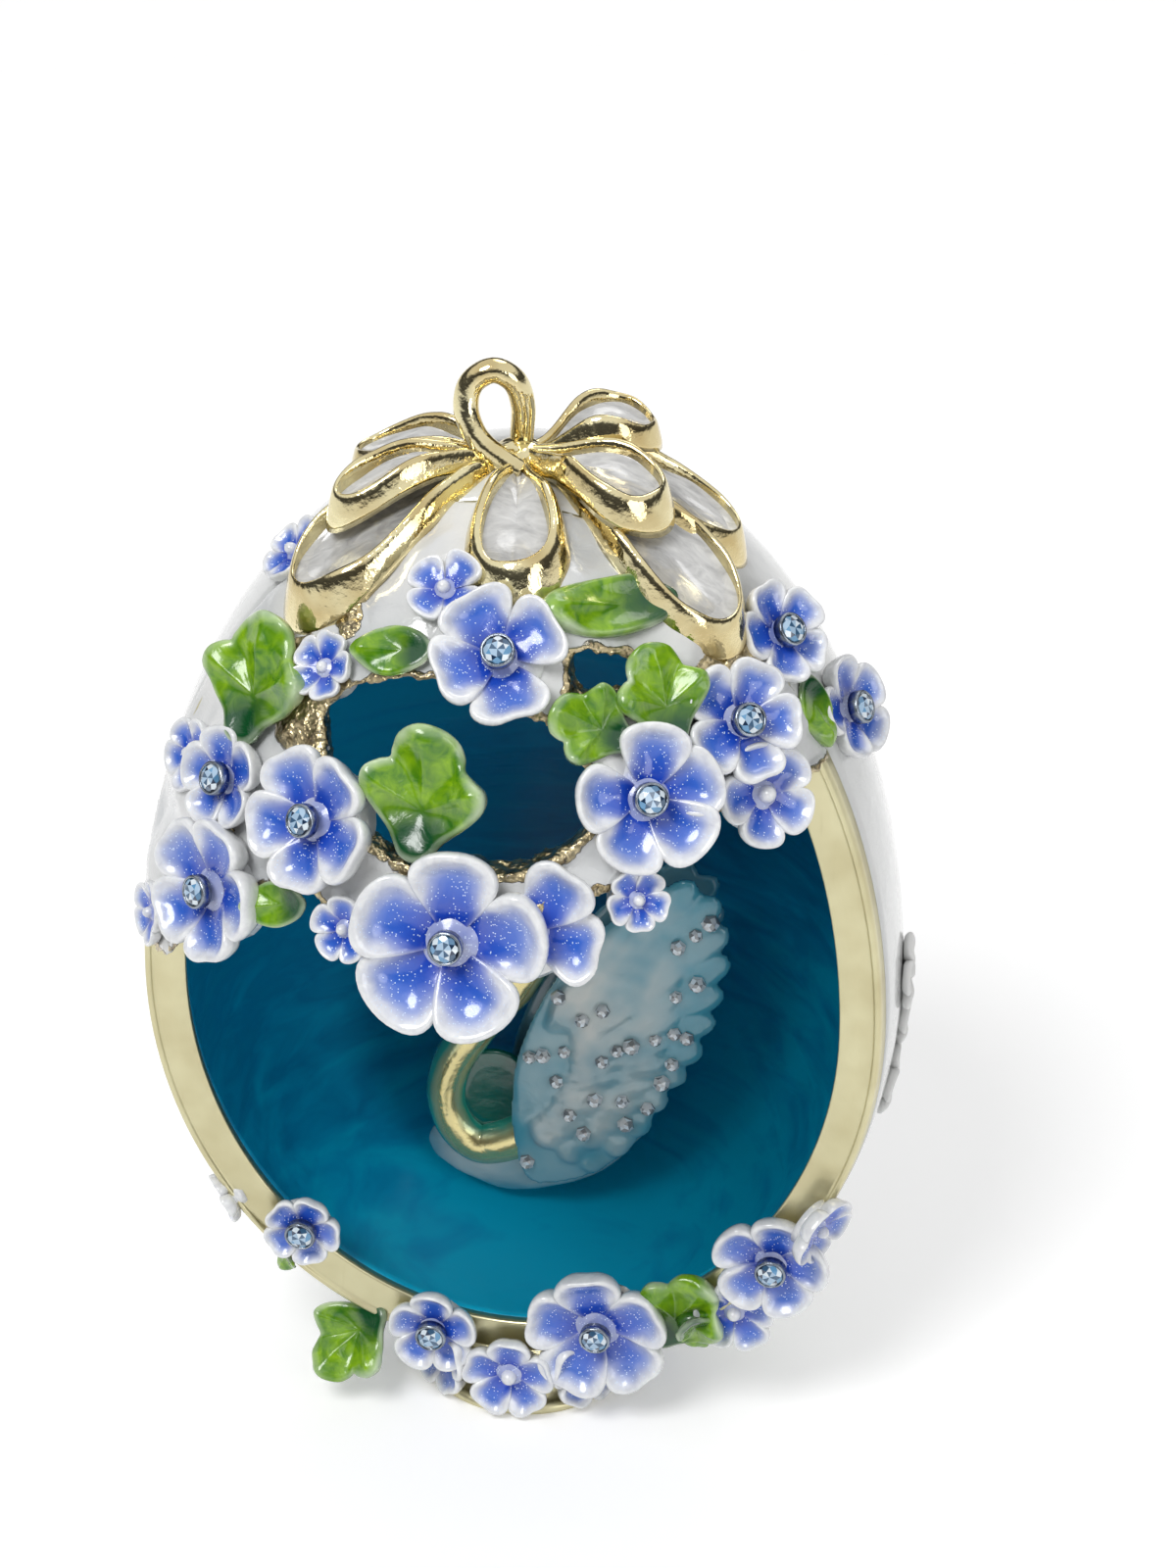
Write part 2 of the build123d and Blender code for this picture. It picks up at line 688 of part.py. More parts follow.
neck_shares = [
    (-0.15, 0.2), (-0.22, 0.24), (-0.27, 0.33), (-0.287, 0.44), (-0.27, 0.545), (-0.21, 0.66),
    (-0.13, 0.77), (-0.06, 0.87), (-0.03, 0.97), (-0.07, 1.06), (-0.16, 1.09), (-0.25, 1.03),
]
beak_share = (-0.38, 0.93)
neck_points = [swan_plane(0).from_local_coords(swan_point(*shares)) for shares in neck_shares]
neck_radii = [
    (neck_base + (neck_top - neck_base) * min(1, 2 * step / len(neck_points))) / 2
    for step in range(len(neck_points) - 1)
]
beak = swan_plane(0).from_local_coords(swan_point(*beak_share))
with BuildPart() as neck:
    add(wire(neck_points, [*neck_radii, head_width / 2], Vector(0, 1, 0)))
    add(wire([neck_points[-1], beak], [head_width / 2, head_width / 8], Vector(0, 1, 0)))
keep(trimmed(neck.part, swan_body.part, near_wing, far_wing), "swan_neck")

# Small clear crystals in rows along the feathers of the near wing
row_shares = (0.6, 0.85)
wing_crystals = []
for tip in feather_tips:
    for row_share in row_shares:
        with BuildPart() as wing_crystal:
            with BuildSketch(swan_plane(wing_spread)):
                with Locations(shoulder + (tip - shoulder) * row_share):
                    RegularPolygon(wing_crystal_radius, wing_crystal_sides)
            extrude(amount=wing_crystal_height)
        wing_crystals.append(wing_crystal.part)
keep(group(wing_crystals), "swan_crystals")
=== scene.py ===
import math
import random

import bmesh
import bpy
from mathutils import Matrix, Vector, kdtree, noise
from mathutils.bvhtree import BVHTree


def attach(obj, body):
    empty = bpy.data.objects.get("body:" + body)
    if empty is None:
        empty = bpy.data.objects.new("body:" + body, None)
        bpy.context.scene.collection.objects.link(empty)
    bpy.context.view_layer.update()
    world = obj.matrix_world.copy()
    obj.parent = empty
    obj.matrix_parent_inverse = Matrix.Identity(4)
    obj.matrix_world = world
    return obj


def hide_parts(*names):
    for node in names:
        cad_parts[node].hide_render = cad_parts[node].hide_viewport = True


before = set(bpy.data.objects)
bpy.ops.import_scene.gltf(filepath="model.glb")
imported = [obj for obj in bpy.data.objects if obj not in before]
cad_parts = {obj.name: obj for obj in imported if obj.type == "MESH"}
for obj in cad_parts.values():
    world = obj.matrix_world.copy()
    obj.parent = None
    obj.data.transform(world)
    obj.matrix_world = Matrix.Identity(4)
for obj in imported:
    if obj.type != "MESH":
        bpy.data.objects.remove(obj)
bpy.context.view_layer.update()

mm = 0.001

# The egg on its foot, as in the CAD
egg = {
    "radius": 33 * mm, "upper": 48.9 * mm, "lower": 38.4 * mm, "rise": 4.4 * mm,
    "opening": 7.8 * mm,    # how far the opening's plane lies in front of the axis
    "bandBack": 6.6 * mm,
    "wall": 3.1 * mm,       # enamelled metal
    "band": 3.6 * mm,       # wall and lining together
    "around": 160,
}
equator = egg["rise"] + egg["lower"]
topPole = equator + egg["upper"]
collection = bpy.context.scene.collection


# Small helpers for meshes
def addObject(name, data):
    made = bpy.data.objects.new(name, data)
    collection.objects.link(made)
    return made


def paint(mesh, key, values):
    # An attribute with a number or a vector for each vertex
    wide = len(values) and hasattr(values[0], "__len__")
    layer = mesh.attributes.new(key, "FLOAT_VECTOR" if wide else "FLOAT", "POINT")
    flat = [number for value in values for number in value] if wide else values
    layer.data.foreach_set("vector" if wide else "value", flat)


def meshFrom(name, points, faces, **attributes):
    mesh = bpy.data.meshes.new(name)
    mesh.from_pydata([tuple(point) for point in points], [], faces)
    for key, values in attributes.items():
        paint(mesh, key, values)
    mesh.update()
    return mesh


def loft(rings):
    # Rings of points joined by faces; a ring of one point is a pole
    points, starts, faces = [], [], []
    for ring in rings:
        starts.append(len(points))
        points.extend(ring)
    for low in range(len(rings) - 1):
        high = low + 1
        lowSize, highSize = len(rings[low]), len(rings[high])
        for step in range(max(lowSize, highSize)):
            after = (step + 1) % max(lowSize, highSize)
            if lowSize == 1:
                faces.append((starts[low], starts[high] + after, starts[high] + step))
            elif highSize == 1:
                faces.append((starts[low] + step, starts[low] + after, starts[high]))
            else:
                faces.append((
                    starts[low] + step, starts[low] + after,
                    starts[high] + after, starts[high] + step,
                ))
    return points, faces


def lathe(rows, sides, fold=None):
    # A closed shape round Z from rows of (radius, height); fold makes its rings wavy
    rings = []
    for radius, height in rows:
        ring = []
        for step in range(sides if radius else 1):
            turn = math.tau * step / sides
            wide = radius * (fold(turn) if fold else 1)
            ring.append(Vector((wide * math.cos(turn), wide * math.sin(turn), height)))
        rings.append(ring)
    return loft(rings)


def faceOut(mesh, merge=0.0):
    work = bmesh.new()
    work.from_mesh(mesh)
    if merge:
        bmesh.ops.remove_doubles(work, verts=work.verts, dist=merge)
    bmesh.ops.recalc_face_normals(work, faces=work.faces)
    work.to_mesh(mesh)
    work.free()
    return mesh


def joined(name, meshes):
    work = bmesh.new()
    for mesh in meshes:
        work.from_mesh(mesh)
    whole = bpy.data.meshes.new(name)
    work.to_mesh(whole)
    work.free()
    return whole


def smoothPath(points, steps, closed=False):
    # A curve through the points, with a given number of steps between each two
    points = [Vector(point) for point in points]
    count = len(points)
    made = []
    for index in range(count if closed else count - 1):
        if closed:
            four = [points[(index + shift) % count] for shift in (-1, 0, 1, 2)]
        else:
            four = [points[min(max(index + shift, 0), count - 1)] for shift in (-1, 0, 1, 2)]
        for step in range(steps):
            t = step / steps
            made.append(0.5 * (
                2 * four[1] + (four[2] - four[0]) * t
                + (2 * four[0] - 5 * four[1] + 4 * four[2] - four[3]) * t**2
                + (3 * four[1] - four[0] - 3 * four[2] + four[3]) * t**3
            ))
    return made if closed else [*made, points[-1]]


def ease(low, high, value):
    share = min(1.0, max(0.0, (value - low) / (high - low)))
    return share * share * (3 - 2 * share)


def tube(name, path, facing, sizes, sides=16):
    # A closed tube along a path: sizes are (width, height), the height lies towards facing
    rings = [[path[0]]]
    for index, point in enumerate(path):
        along = (path[min(index + 1, len(path) - 1)] - path[max(index - 1, 0)]).normalized()
        side = along.cross(facing).normalized()
        up = side.cross(along)
        width, height = sizes[index]
        ring = []
        for step in range(sides):
            angle = math.tau * step / sides
            across, rise = math.cos(angle) * width / 2, math.sin(angle) * height / 2
            ring.append(point + side * across + up * rise)
        rings.append(ring)
    rings.append([path[-1]])
    points, faces = loft(rings)
    around = [0.0] + [step / sides for _ in path for step in range(sides)] + [0.0]
    return faceOut(meshFrom(name, points, faces, around=around))


def pad(name, outline, profile, lift=None, centre=(0, 0)):
    # A closed cushion over a flat outline: profile is (share of the way out, height).
    # edge is 0 in the middle and 1 at the rim and all over the underside, where lift gets 1.01
    middle = Vector((*centre, 0))
    rings, edges = [], []
    for share, height in profile:
        ring = [middle]
        if share:
            ring = [middle + (Vector((*point, 0)) - middle) * share for point in outline]
        ring = [point + Vector((0, 0, height)) for point in ring]
        rings.append(ring)
        under = len(rings) > 1 and share < edges[-1] - 1e-6 or (edges and edges[-1] > 1)
        edges.extend([1.01 if under else share] * len(ring))
    points, faces = loft(rings)
    if lift:
        points = [lift(point, edge) for point, edge in zip(points, edges)]
    edges = [min(1.0, edge) for edge in edges]
    return faceOut(meshFrom(name, points, faces, edge=edges))


# Planes that pieces sit on, as in the CAD
def seatMatrix(origin, across, out):
    out = Vector(out).normalized()
    across = Vector(across)
    across = (across - out * across.dot(out)).normalized()
    turn = Matrix((across, out.cross(across), out)).transposed()
    return Matrix.Translation(origin) @ turn.to_4x4()


def skinSeat(turn, height, facing=1.0, tilt=1.0):
    half = egg["upper"] if height > 0 else egg["lower"]
    around, face = math.radians(turn), math.radians(turn * facing)
    radius, level = egg["radius"] * math.sqrt(1 - height**2), half * height
    out, rise = radius / egg["radius"] ** 2, level / half**2
    return seatMatrix(
        (radius * math.sin(around), -radius * math.cos(around), equator + level),
        (math.cos(face), math.sin(face), 0),
        (out * math.sin(face), -out * math.cos(face), rise * tilt),
    )


def rimSeat(angle, inset):
    squeeze = math.sqrt(1 - (egg["opening"] / egg["radius"]) ** 2)
    drawn = inset * egg["band"]
    side = (egg["radius"] * squeeze - drawn) * math.sin(math.radians(angle))
    down = (egg["lower"] * squeeze - drawn) * math.cos(math.radians(angle))
    return seatMatrix((side, -egg["opening"], equator - down), (1, 0, 0), (0, -1, 0))


def footSeat(turn, radius, level):
    around = math.radians(turn)
    return seatMatrix(
        (radius * math.sin(around), -radius * math.cos(around), level),
        (math.cos(around), math.sin(around), 0), (math.sin(around), -math.cos(around), 0),
    )


def drape(x, y, lift):
    # The point over (x, y) on the upper half of the egg, raised by lift
    radius, half = egg["radius"] + lift, egg["upper"] + lift
    return Vector((x, y, equator + half * math.sqrt(max(0.0, 1 - (x * x + y * y) / radius**2))))


def skinNormal(point):
    return Vector((
        point.x / egg["radius"] ** 2, point.y / egg["radius"] ** 2,
        (point.z - equator) / egg["upper"] ** 2,
    )).normalized()


print("helpers ready")


# Node trees are built with two helpers
def node(tree, kind, settings=None, inputs=None):
    made = tree.nodes.new(kind)
    for key, value in (settings or {}).items():
        setattr(made, key, value)
    for key, value in (inputs or {}).items():
        if isinstance(value, bpy.types.NodeSocket):
            tree.links.new(value, made.inputs[key])
        else:
            made.inputs[key].default_value = value
    return made


def sums(tree, operation, *values):
    return node(tree, "ShaderNodeMath", {"operation": operation}, dict(enumerate(values))).outputs[0]


def mixColour(tree, factor, first, second, blend="MIX"):
    settings = {"data_type": "RGBA", "blend_type": blend}
    return node(tree, "ShaderNodeMix", settings, {0: factor, 6: first, 7: second}).outputs[2]


def ramp(tree, factor, *stops):
    made = node(tree, "ShaderNodeValToRGB", None, {0: factor})
    band = made.color_ramp
    while len(band.elements) < len(stops):
        band.elements.new(0.5)
    for element, (place, colour) in zip(band.elements, stops):
        element.position, element.color = place, colour
    return made.outputs[0]


def stretch(tree, value, low, high):
    ranged = node(tree, "ShaderNodeMapRange", None, {0: value, 1: low, 2: high, 3: 0.0, 4: 1.0})
    return ranged.outputs[0]


def grey(level):
    return (level, level, level, 1)


def newGroup(name, kind, inputs, outputs):
    tree = bpy.data.node_groups.new(name, kind)
    for direction, sockets in (("INPUT", inputs), ("OUTPUT", outputs)):
        for label, (socketKind, value) in sockets.items():
            socket = tree.interface.new_socket(label, in_out=direction, socket_type=socketKind)
            if value is not None:
                socket.default_value = value
    return tree, tree.nodes.new("NodeGroupInput"), tree.nodes.new("NodeGroupOutput")


numberSocket = "NodeSocketFloat"


# Effects that several finishes share
def objectPlace(tree):
    return node(tree, "ShaderNodeTexCoord").outputs["Object"]


def vectorSums(tree, operation, first, second):
    return node(tree, "ShaderNodeVectorMath", {"operation": operation}, {0: first, 1: second}).outputs[0]


def noiseOf(tree, place, scale, detail=2.0, **more):
    inputs = {"Vector": place, "Scale": scale, "Detail": detail, **more}
    return node(tree, "ShaderNodeTexNoise", None, inputs).outputs[0]


def giveOut(tree, leave, **values):
    for label, value in values.items():
        tree.links.new(value, leave.inputs[label])


def flowGroup():
    # Hand-laid enamel: soft pools and brush streaks, and the unevenness of its surface
    tree, enter, leave = newGroup(
        "enamelFlow", "ShaderNodeTree",
        {"Pool Scale": (numberSocket, 90.0), "Streak Scale": (numberSocket, 400.0),
         "Streak Stretch": ("NodeSocketVector", (1, 1, 1))},
        {"Pools": (numberSocket, None), "Streaks": (numberSocket, None), "Height": (numberSocket, None)},
    )
    place = objectPlace(tree)
    pools = noiseOf(tree, place, enter.outputs["Pool Scale"])
    bent = vectorSums(tree, "MULTIPLY", place, enter.outputs["Streak Stretch"])
    streaks = noiseOf(tree, bent, enter.outputs["Streak Scale"], 3.0, Roughness=0.6, Distortion=0.6)
    giveOut(
        tree, leave, Pools=stretch(tree, pools, 0.3, 0.7), Streaks=stretch(tree, streaks, 0.3, 0.7),
        Height=sums(tree, "MULTIPLY_ADD", streaks, 0.35, pools))
    return tree


def glitterGroup():
    # Fine bright flecks: a few of many small cells are picked
    tree, enter, leave = newGroup(
        "glitterDust", "ShaderNodeTree",
        {"Scale": (numberSocket, 4200.0), "Amount": (numberSocket, 0.1)},
        {"Flecks": (numberSocket, None)},
    )
    cells = node(tree, "ShaderNodeTexVoronoi", None, {
        "Vector": objectPlace(tree), "Scale": enter.outputs["Scale"]})
    pick = node(tree, "ShaderNodeSeparateColor", None, {0: cells.outputs["Color"]}).outputs[0]
    chosen = sums(tree, "LESS_THAN", pick, enter.outputs["Amount"])
    near = sums(tree, "LESS_THAN", cells.outputs["Distance"], 0.36)
    giveOut(tree, leave, Flecks=sums(tree, "MULTIPLY", chosen, near))
    return tree


def castGroup():
    # Plated casting: soft dents, a fine skin and thin scratches
    tree, enter, leave = newGroup(
        "castPlate", "ShaderNodeTree",
        {"Dent Scale": (numberSocket, 260.0), "Grain Scale": (numberSocket, 1800.0)},
        {"Tarnish": (numberSocket, None), "Scratches": (numberSocket, None),
         "Height": (numberSocket, None)},
    )
    place, grainScale = objectPlace(tree), enter.outputs["Grain Scale"]
    dents = noiseOf(tree, place, enter.outputs["Dent Scale"])
    grain = noiseOf(tree, place, grainScale)
    lines = noiseOf(tree, vectorSums(tree, "MULTIPLY", place, (1, 1, 0.12)), grainScale)
    scratches = stretch(tree, lines, 0.62, 0.72)
    height = sums(tree, "MULTIPLY_ADD", grain, 0.18, dents)
    giveOut(
        tree, leave, Tarnish=stretch(tree, dents, 0.35, 0.75), Scratches=scratches,
        Height=sums(tree, "MULTIPLY_ADD", scratches, -0.03, height))
    return tree


groups = {"flow": flowGroup(), "glitter": glitterGroup(), "cast": castGroup()}


# Each finish starts from one shader and ends with its colour and its unevenness
def startFinish(name, roughness, **fixed):
    material = bpy.data.materials.new(name)
    material.use_nodes = True
    tree = material.node_tree
    shader = tree.nodes["Principled BSDF"]
    shader.inputs["Roughness"].default_value = roughness
    for key, value in fixed.items():
        shader.inputs[key.replace("_", " ")].default_value = value
    return material, tree


def feed(tree, key, value):
    tree.links.new(value, tree.nodes["Principled BSDF"].inputs[key])


def dress(material, colour, height=None, depth=0.0):
    tree = material.node_tree
    feed(tree, "Base Color", colour)
    if height is not None:
        bump = node(tree, "ShaderNodeBump", None, {"Height": height, "Distance": depth, "Strength": 1.0})
        feed(tree, "Normal", bump.outputs[0])
    return material


def effect(tree, key, inputs=None):
    made = node(tree, "ShaderNodeGroup", {"node_tree": groups[key]})
    for label, value in (inputs or {}).items():
        made.inputs[label].default_value = value
    return made.outputs


def flowing(tree, pools, streaks, spread=(1, 1, 1)):
    return effect(tree, "flow", {"Pool Scale": pools, "Streak Scale": streaks, "Streak Stretch": spread})


def ruffled(tree, value, by, amount):
    # The value, moved up and down by a noise from 0 to 1
    return sums(tree, "MULTIPLY_ADD", sums(tree, "SUBTRACT", by, 0.5), amount, value)


def readAttribute(tree, name):
    return node(tree, "ShaderNodeAttribute", {"attribute_name": name}).outputs["Fac"]


goldLook = {
    "bright": (0.84, 0.76, 0.47, 1), "deep": (0.58, 0.45, 0.21, 1),
    "satin": (0.62, 0.58, 0.37, 1), "satinDeep": (0.52, 0.47, 0.28, 1),
}


def goldFinish(name, roughness, dent, light="bright", dark="deep"):
    material, tree = startFinish(name, roughness, Metallic=1.0)
    cast = effect(tree, "cast", {"Dent Scale": 230.0})
    feed(tree, "Roughness", sums(tree, "MULTIPLY_ADD", cast["Scratches"], 0.12, roughness))
    colour = mixColour(tree, cast["Tarnish"], goldLook[light], goldLook[dark])
    return dress(material, colour, cast["Height"], dent)


def whiteFinish(name, tint, shade, worn=False, coat=0.7):
    # White enamel, matt where it has no coat; a worn one shows its metal where gilt is painted
    roughness = 0.16 if coat else 0.5
    material, tree = startFinish(name, roughness, Coat_Weight=coat, Coat_Roughness=0.06)
    flow = flowing(tree, 130.0, 500.0)
    enamel = mixColour(tree, flow["Pools"], tint, shade)
    if not worn:
        return dress(material, enamel, flow["Height"], 0.3 * mm)
    cast = effect(tree, "cast", {"Dent Scale": 900.0})
    mask = stretch(tree, ruffled(tree, readAttribute(tree, "gilt"), flow["Streaks"], 0.5), 0.45, 0.6)
    metal = mixColour(tree, cast["Tarnish"], (0.60, 0.50, 0.29, 1), (0.14, 0.10, 0.05, 1))
    feed(tree, "Metallic", mask)
    feed(tree, "Roughness", sums(tree, "MULTIPLY_ADD", mask, 0.14, roughness))
    rough = sums(tree, "MULTIPLY", mask, 1.6)
    height = sums(tree, "MULTIPLY_ADD", cast["Height"], rough, flow["Height"])
    return dress(material, mixColour(tree, mask, enamel, metal), height, 0.35 * mm)


def tealFinish(name):
    # Translucent teal over brushed metal, with painted light: lighter towards the bottom of the hollow and to
    # the right, darkest about halfway up as painted shade
    slope, dark, bright = -0.45, 0.064, 0.012
    material, tree = startFinish(
        name, 0.32, Coat_Weight=0.12, Coat_Roughness=0.15, Specular_IOR_Level=0.3)
    flow = flowing(tree, 55.0, 150.0, (0.45, 0.8, 2.6))
    parts = node(tree, "ShaderNodeSeparateXYZ", None, {0: objectPlace(tree)}).outputs
    paintedLight = stretch(tree, sums(tree, "MULTIPLY_ADD", parts[0], slope, parts[2]), dark, bright)
    paintedLight = ruffled(tree, paintedLight, flow["Streaks"], 0.55)
    paintedLight = ruffled(tree, paintedLight, flow["Pools"], 0.16)
    colour = ramp(
        tree, paintedLight, (0.0, (0.000, 0.200, 0.370, 1)), (0.35, (0.000, 0.165, 0.340, 1)),
        (0.7, (0.000, 0.250, 0.450, 1)), (1.0, (0.000, 0.340, 0.530, 1)),
    )
    return dress(material, colour, flow["Height"], 0.35 * mm)


def petalFinish(name, deep, middle, rim):
    # Blue glitter enamel in each petal's dish, fading into its thick white rim
    material, tree = startFinish(name, 0.2, Coat_Weight=0.8, Coat_Roughness=0.07)
    flow = flowing(tree, 320.0, 900.0)
    glitter = effect(tree, "glitter", {"Scale": 6500.0, "Amount": 0.14})
    edge, heart = readAttribute(tree, "edge"), readAttribute(tree, "heart")
    blue = mixColour(tree, stretch(tree, heart, 0.3, 1.0), deep, middle)
    shade = mixColour(tree, flow["Streaks"], rim, (0.66, 0.67, 0.70, 1))
    loose = ruffled(tree, edge, flow["Pools"], 0.16)
    fade = ramp(
        tree, stretch(tree, loose, 0.16, 0.86), (0.0, grey(0)), (0.3, grey(0.10)), (0.55, grey(0.38)),
        (0.78, grey(0.86)), (1.0, grey(1)))
    colour = mixColour(tree, fade, blue, shade)
    flecks = sums(tree, "MULTIPLY", glitter["Flecks"], stretch(tree, edge, 0.92, 0.7))
    colour = mixColour(tree, flecks, colour, (0.66, 0.78, 0.95, 1))
    return dress(material, colour, flow["Height"], 0.12 * mm)


def leafFinish(name):
    # Translucent green, dark in the hollow at the stalk, pale where it thins at the edge
    material, tree = startFinish(name, 0.2, Coat_Weight=0.45, Coat_Roughness=0.06)
    flow = flowing(tree, 260.0, 600.0)
    loose = ruffled(tree, readAttribute(tree, "hollow"), flow["Pools"], 0.35)
    green = mixColour(tree, flow["Streaks"], (0.040, 0.175, 0.002, 1), (0.25, 0.46, 0.005, 1))
    green = mixColour(tree, stretch(tree, loose, 0.1, 0.9), green, (0.000, 0.060, 0.012, 1))
    thin = stretch(tree, readAttribute(tree, "edge"), 0.82, 0.98)
    rim = sums(tree, "MULTIPLY", thin, stretch(tree, flow["Pools"], 0.2, 1.0))
    colour = mixColour(tree, rim, green, (0.60, 0.72, 0.50, 1))
    return dress(material, colour, flow["Height"], 0.3 * mm)


def pearlFinish(name):
    # Pearly white with grey streaks, dark enough to serve in part as painted shade in the loops' bowls
    material, tree = startFinish(name, 0.2, Coat_Weight=0.8, Coat_Roughness=0.05)
    flow = flowing(tree, 150.0, 420.0, (1, 2.4, 1))
    colour = mixColour(tree, flow["Streaks"], (0.38, 0.38, 0.38, 1), (0.64, 0.64, 0.63, 1))
    return dress(material, colour, flow["Height"], 0.35 * mm)


def crystalFinish(name, dark, light, transmission):
    # Each facet gets its own tone, from dark to a near-white painted reflection: painted light for what cut
    # glass over foil throws back
    material, tree = startFinish(
        name, 0.03, IOR=1.55, Coat_Weight=1.0, Coat_Roughness=0.02, Transmission_Weight=transmission)
    facetGlint = readAttribute(tree, "facetGlint")
    return dress(material, ramp(tree, facetGlint, (0.0, dark), (0.55, light), (0.9, (0.80, 0.90, 0.98, 1))))


def cupFinish(name):
    material, tree = startFinish(name, 0.25, Metallic=1.0)
    cast = effect(tree, "cast", {"Dent Scale": 900.0, "Grain Scale": 4000.0})
    colour = mixColour(tree, cast["Tarnish"], (0.34, 0.38, 0.43, 1), (0.12, 0.14, 0.18, 1))
    return dress(material, colour, cast["Height"], 0.08 * mm)


def swanFinish(name):
    # Pale enamel, bluer towards the wing's tips, with teal painted shade in the hollows between the feathers
    material, tree = startFinish(name, 0.22, Coat_Weight=0.7, Coat_Roughness=0.08)
    flow = flowing(tree, 170.0, 500.0)
    across = node(tree, "ShaderNodeSeparateXYZ", None, {0: objectPlace(tree)}).outputs[0]
    patches = stretch(tree, flow["Pools"], 0.3, 1.1)
    blue = sums(tree, "MULTIPLY_ADD", stretch(tree, across, 5 * mm, 17 * mm), 0.75, patches)
    white = mixColour(tree, blue, (0.56, 0.58, 0.55, 1), (0.09, 0.27, 0.35, 1))
    hollowShade = sums(tree, "MULTIPLY", readAttribute(tree, "edge"), 0.7)
    colour = mixColour(tree, hollowShade, white, (0.05, 0.30, 0.40, 1))
    return dress(material, colour, flow["Height"], 0.25 * mm)


def neckFinish(name):
    # Green enamel over gold. Gold shows along the crest where the enamel runs thin, laid on the side towards the
    # camera as a painted highlight; dark green painted shadow where edge is painted
    material, tree = startFinish(name, 0.18, Coat_Weight=0.9, Coat_Roughness=0.05)
    flow = flowing(tree, 220.0, 500.0)
    crestHighlight = sums(tree, "ABSOLUTE", sums(tree, "SUBTRACT", readAttribute(tree, "around"), 0.23))
    thin = stretch(tree, ruffled(tree, crestHighlight, flow["Pools"], 0.05), 0.16, 0.06)
    feed(tree, "Metallic", sums(tree, "MULTIPLY", thin, 0.8))
    green = mixColour(tree, flow["Pools"], (0.006, 0.20, 0.14, 1), (0.03, 0.33, 0.25, 1))
    green = mixColour(tree, readAttribute(tree, "edge"), green, (0.0, 0.10, 0.07, 1))
    colour = mixColour(tree, thin, green, (0.72, 0.62, 0.28, 1))
    return dress(material, colour, flow["Height"], 0.2 * mm)


finishes = {
    "goldPolished": goldFinish("goldPolished", 0.09, 0.22 * mm),
    "goldSatin": goldFinish("goldSatin", 0.34, 0.10 * mm, "satin", "satinDeep"),
    "whiteShell": whiteFinish("whiteShell", (0.68, 0.69, 0.68, 1), (0.62, 0.63, 0.63, 1)),
    # The openwork's enamel has its darker pools deepened to bluish grey, partly as painted shade
    "whiteGilt": whiteFinish(
        "whiteGilt", (0.72, 0.72, 0.71, 1), (0.50, 0.52, 0.54, 1), worn=True),
    # A lighter copy of the white enamel: painted light to lift the relief out of the shade on the egg's side
    "whiteReliefPaintedLight": whiteFinish(
        "whiteReliefPaintedLight", (0.80, 0.80, 0.79, 1), (0.74, 0.74, 0.73, 1), coat=0.0),
    "teal": tealFinish("tealLining"),
    "petal": petalFinish(
        "blueEnamel", (0.008, 0.050, 0.46, 1), (0.050, 0.175, 0.66, 1), (0.84, 0.85, 0.85, 1)),
    "leaf": leafFinish("leafGreen"),
    "pearl": pearlFinish("pearlEnamel"),
    "crystal": crystalFinish("blueCrystal", (0.01, 0.035, 0.09, 1), (0.14, 0.38, 0.66, 1), 0.15),
    "clear": crystalFinish("clearCrystal", (0.22, 0.23, 0.24, 1), (0.70, 0.73, 0.75, 1), 0.15),
    "cup": cupFinish("cupMetal"),
    "swan": swanFinish("swanEnamel"),
    "neck": neckFinish("neckEnamel"),
}
print("finishes ready:", len(finishes))


# Geometry Nodes: a wall of the egg from its profile, and shapes set on points
def named(tree, label, kind="FLOAT"):
    made = node(tree, "GeometryNodeInputNamedAttribute", {"data_type": kind}, {"Name": label})
    return made.outputs["Attribute"]


def eggTree():
    tree, enter, leave = newGroup(
        "eggWall", "GeometryNodeTree",
        {"Geometry": ("NodeSocketGeometry", None), "Radius": (numberSocket, 0.0),
         "Upper": (numberSocket, 0.0), "Lower": (numberSocket, 0.0), "Rise": (numberSocket, 0.0),
         "Material": ("NodeSocketMaterial", None)},
        {"Geometry": ("NodeSocketGeometry", None)},
    )
    inset, depth = named(tree, "inset"), named(tree, "depth")
    turn = sums(tree, "MULTIPLY", named(tree, "turnShare"), math.tau)
    radius = sums(tree, "SUBTRACT", enter.outputs["Radius"], inset)
    ratio = sums(tree, "DIVIDE", depth, radius)
    left = sums(tree, "SUBTRACT", 1.0, sums(tree, "MULTIPLY", ratio, ratio))
    squeeze = sums(tree, "SQRT", sums(tree, "MAXIMUM", left, 0.0))
    climb = sums(tree, "MULTIPLY", sums(tree, "COSINE", turn), -1.0)
    above = sums(tree, "GREATER_THAN", climb, 0.0)
    span = sums(tree, "SUBTRACT", enter.outputs["Upper"], enter.outputs["Lower"])
    half = sums(tree, "MULTIPLY_ADD", above, span, enter.outputs["Lower"])
    reach = sums(tree, "MULTIPLY", sums(tree, "SUBTRACT", half, inset), squeeze)
    level = sums(tree, "MULTIPLY_ADD", reach, climb, sums(
        tree, "ADD", enter.outputs["Rise"], enter.outputs["Lower"]))
    side = sums(tree, "MULTIPLY", sums(tree, "MULTIPLY", radius, squeeze), sums(tree, "SINE", turn))
    place = node(tree, "ShaderNodeCombineXYZ", None, {0: side, 1: depth, 2: level})
    moved = node(tree, "GeometryNodeSetPosition", None, {
        "Geometry": enter.outputs["Geometry"], "Position": place.outputs[0]})
    sewn = node(tree, "GeometryNodeMergeByDistance", None, {
        "Geometry": moved.outputs[0], "Distance": 0.004 * mm})
    real = node(tree, "GeometryNodeRealizeInstances", None, {0: sewn.outputs[0]})
    done = node(tree, "GeometryNodeSetMaterial", None, {
        "Geometry": real.outputs[0], "Material": enter.outputs["Material"]})
    tree.links.new(done.outputs[0], leave.inputs["Geometry"])
    return tree


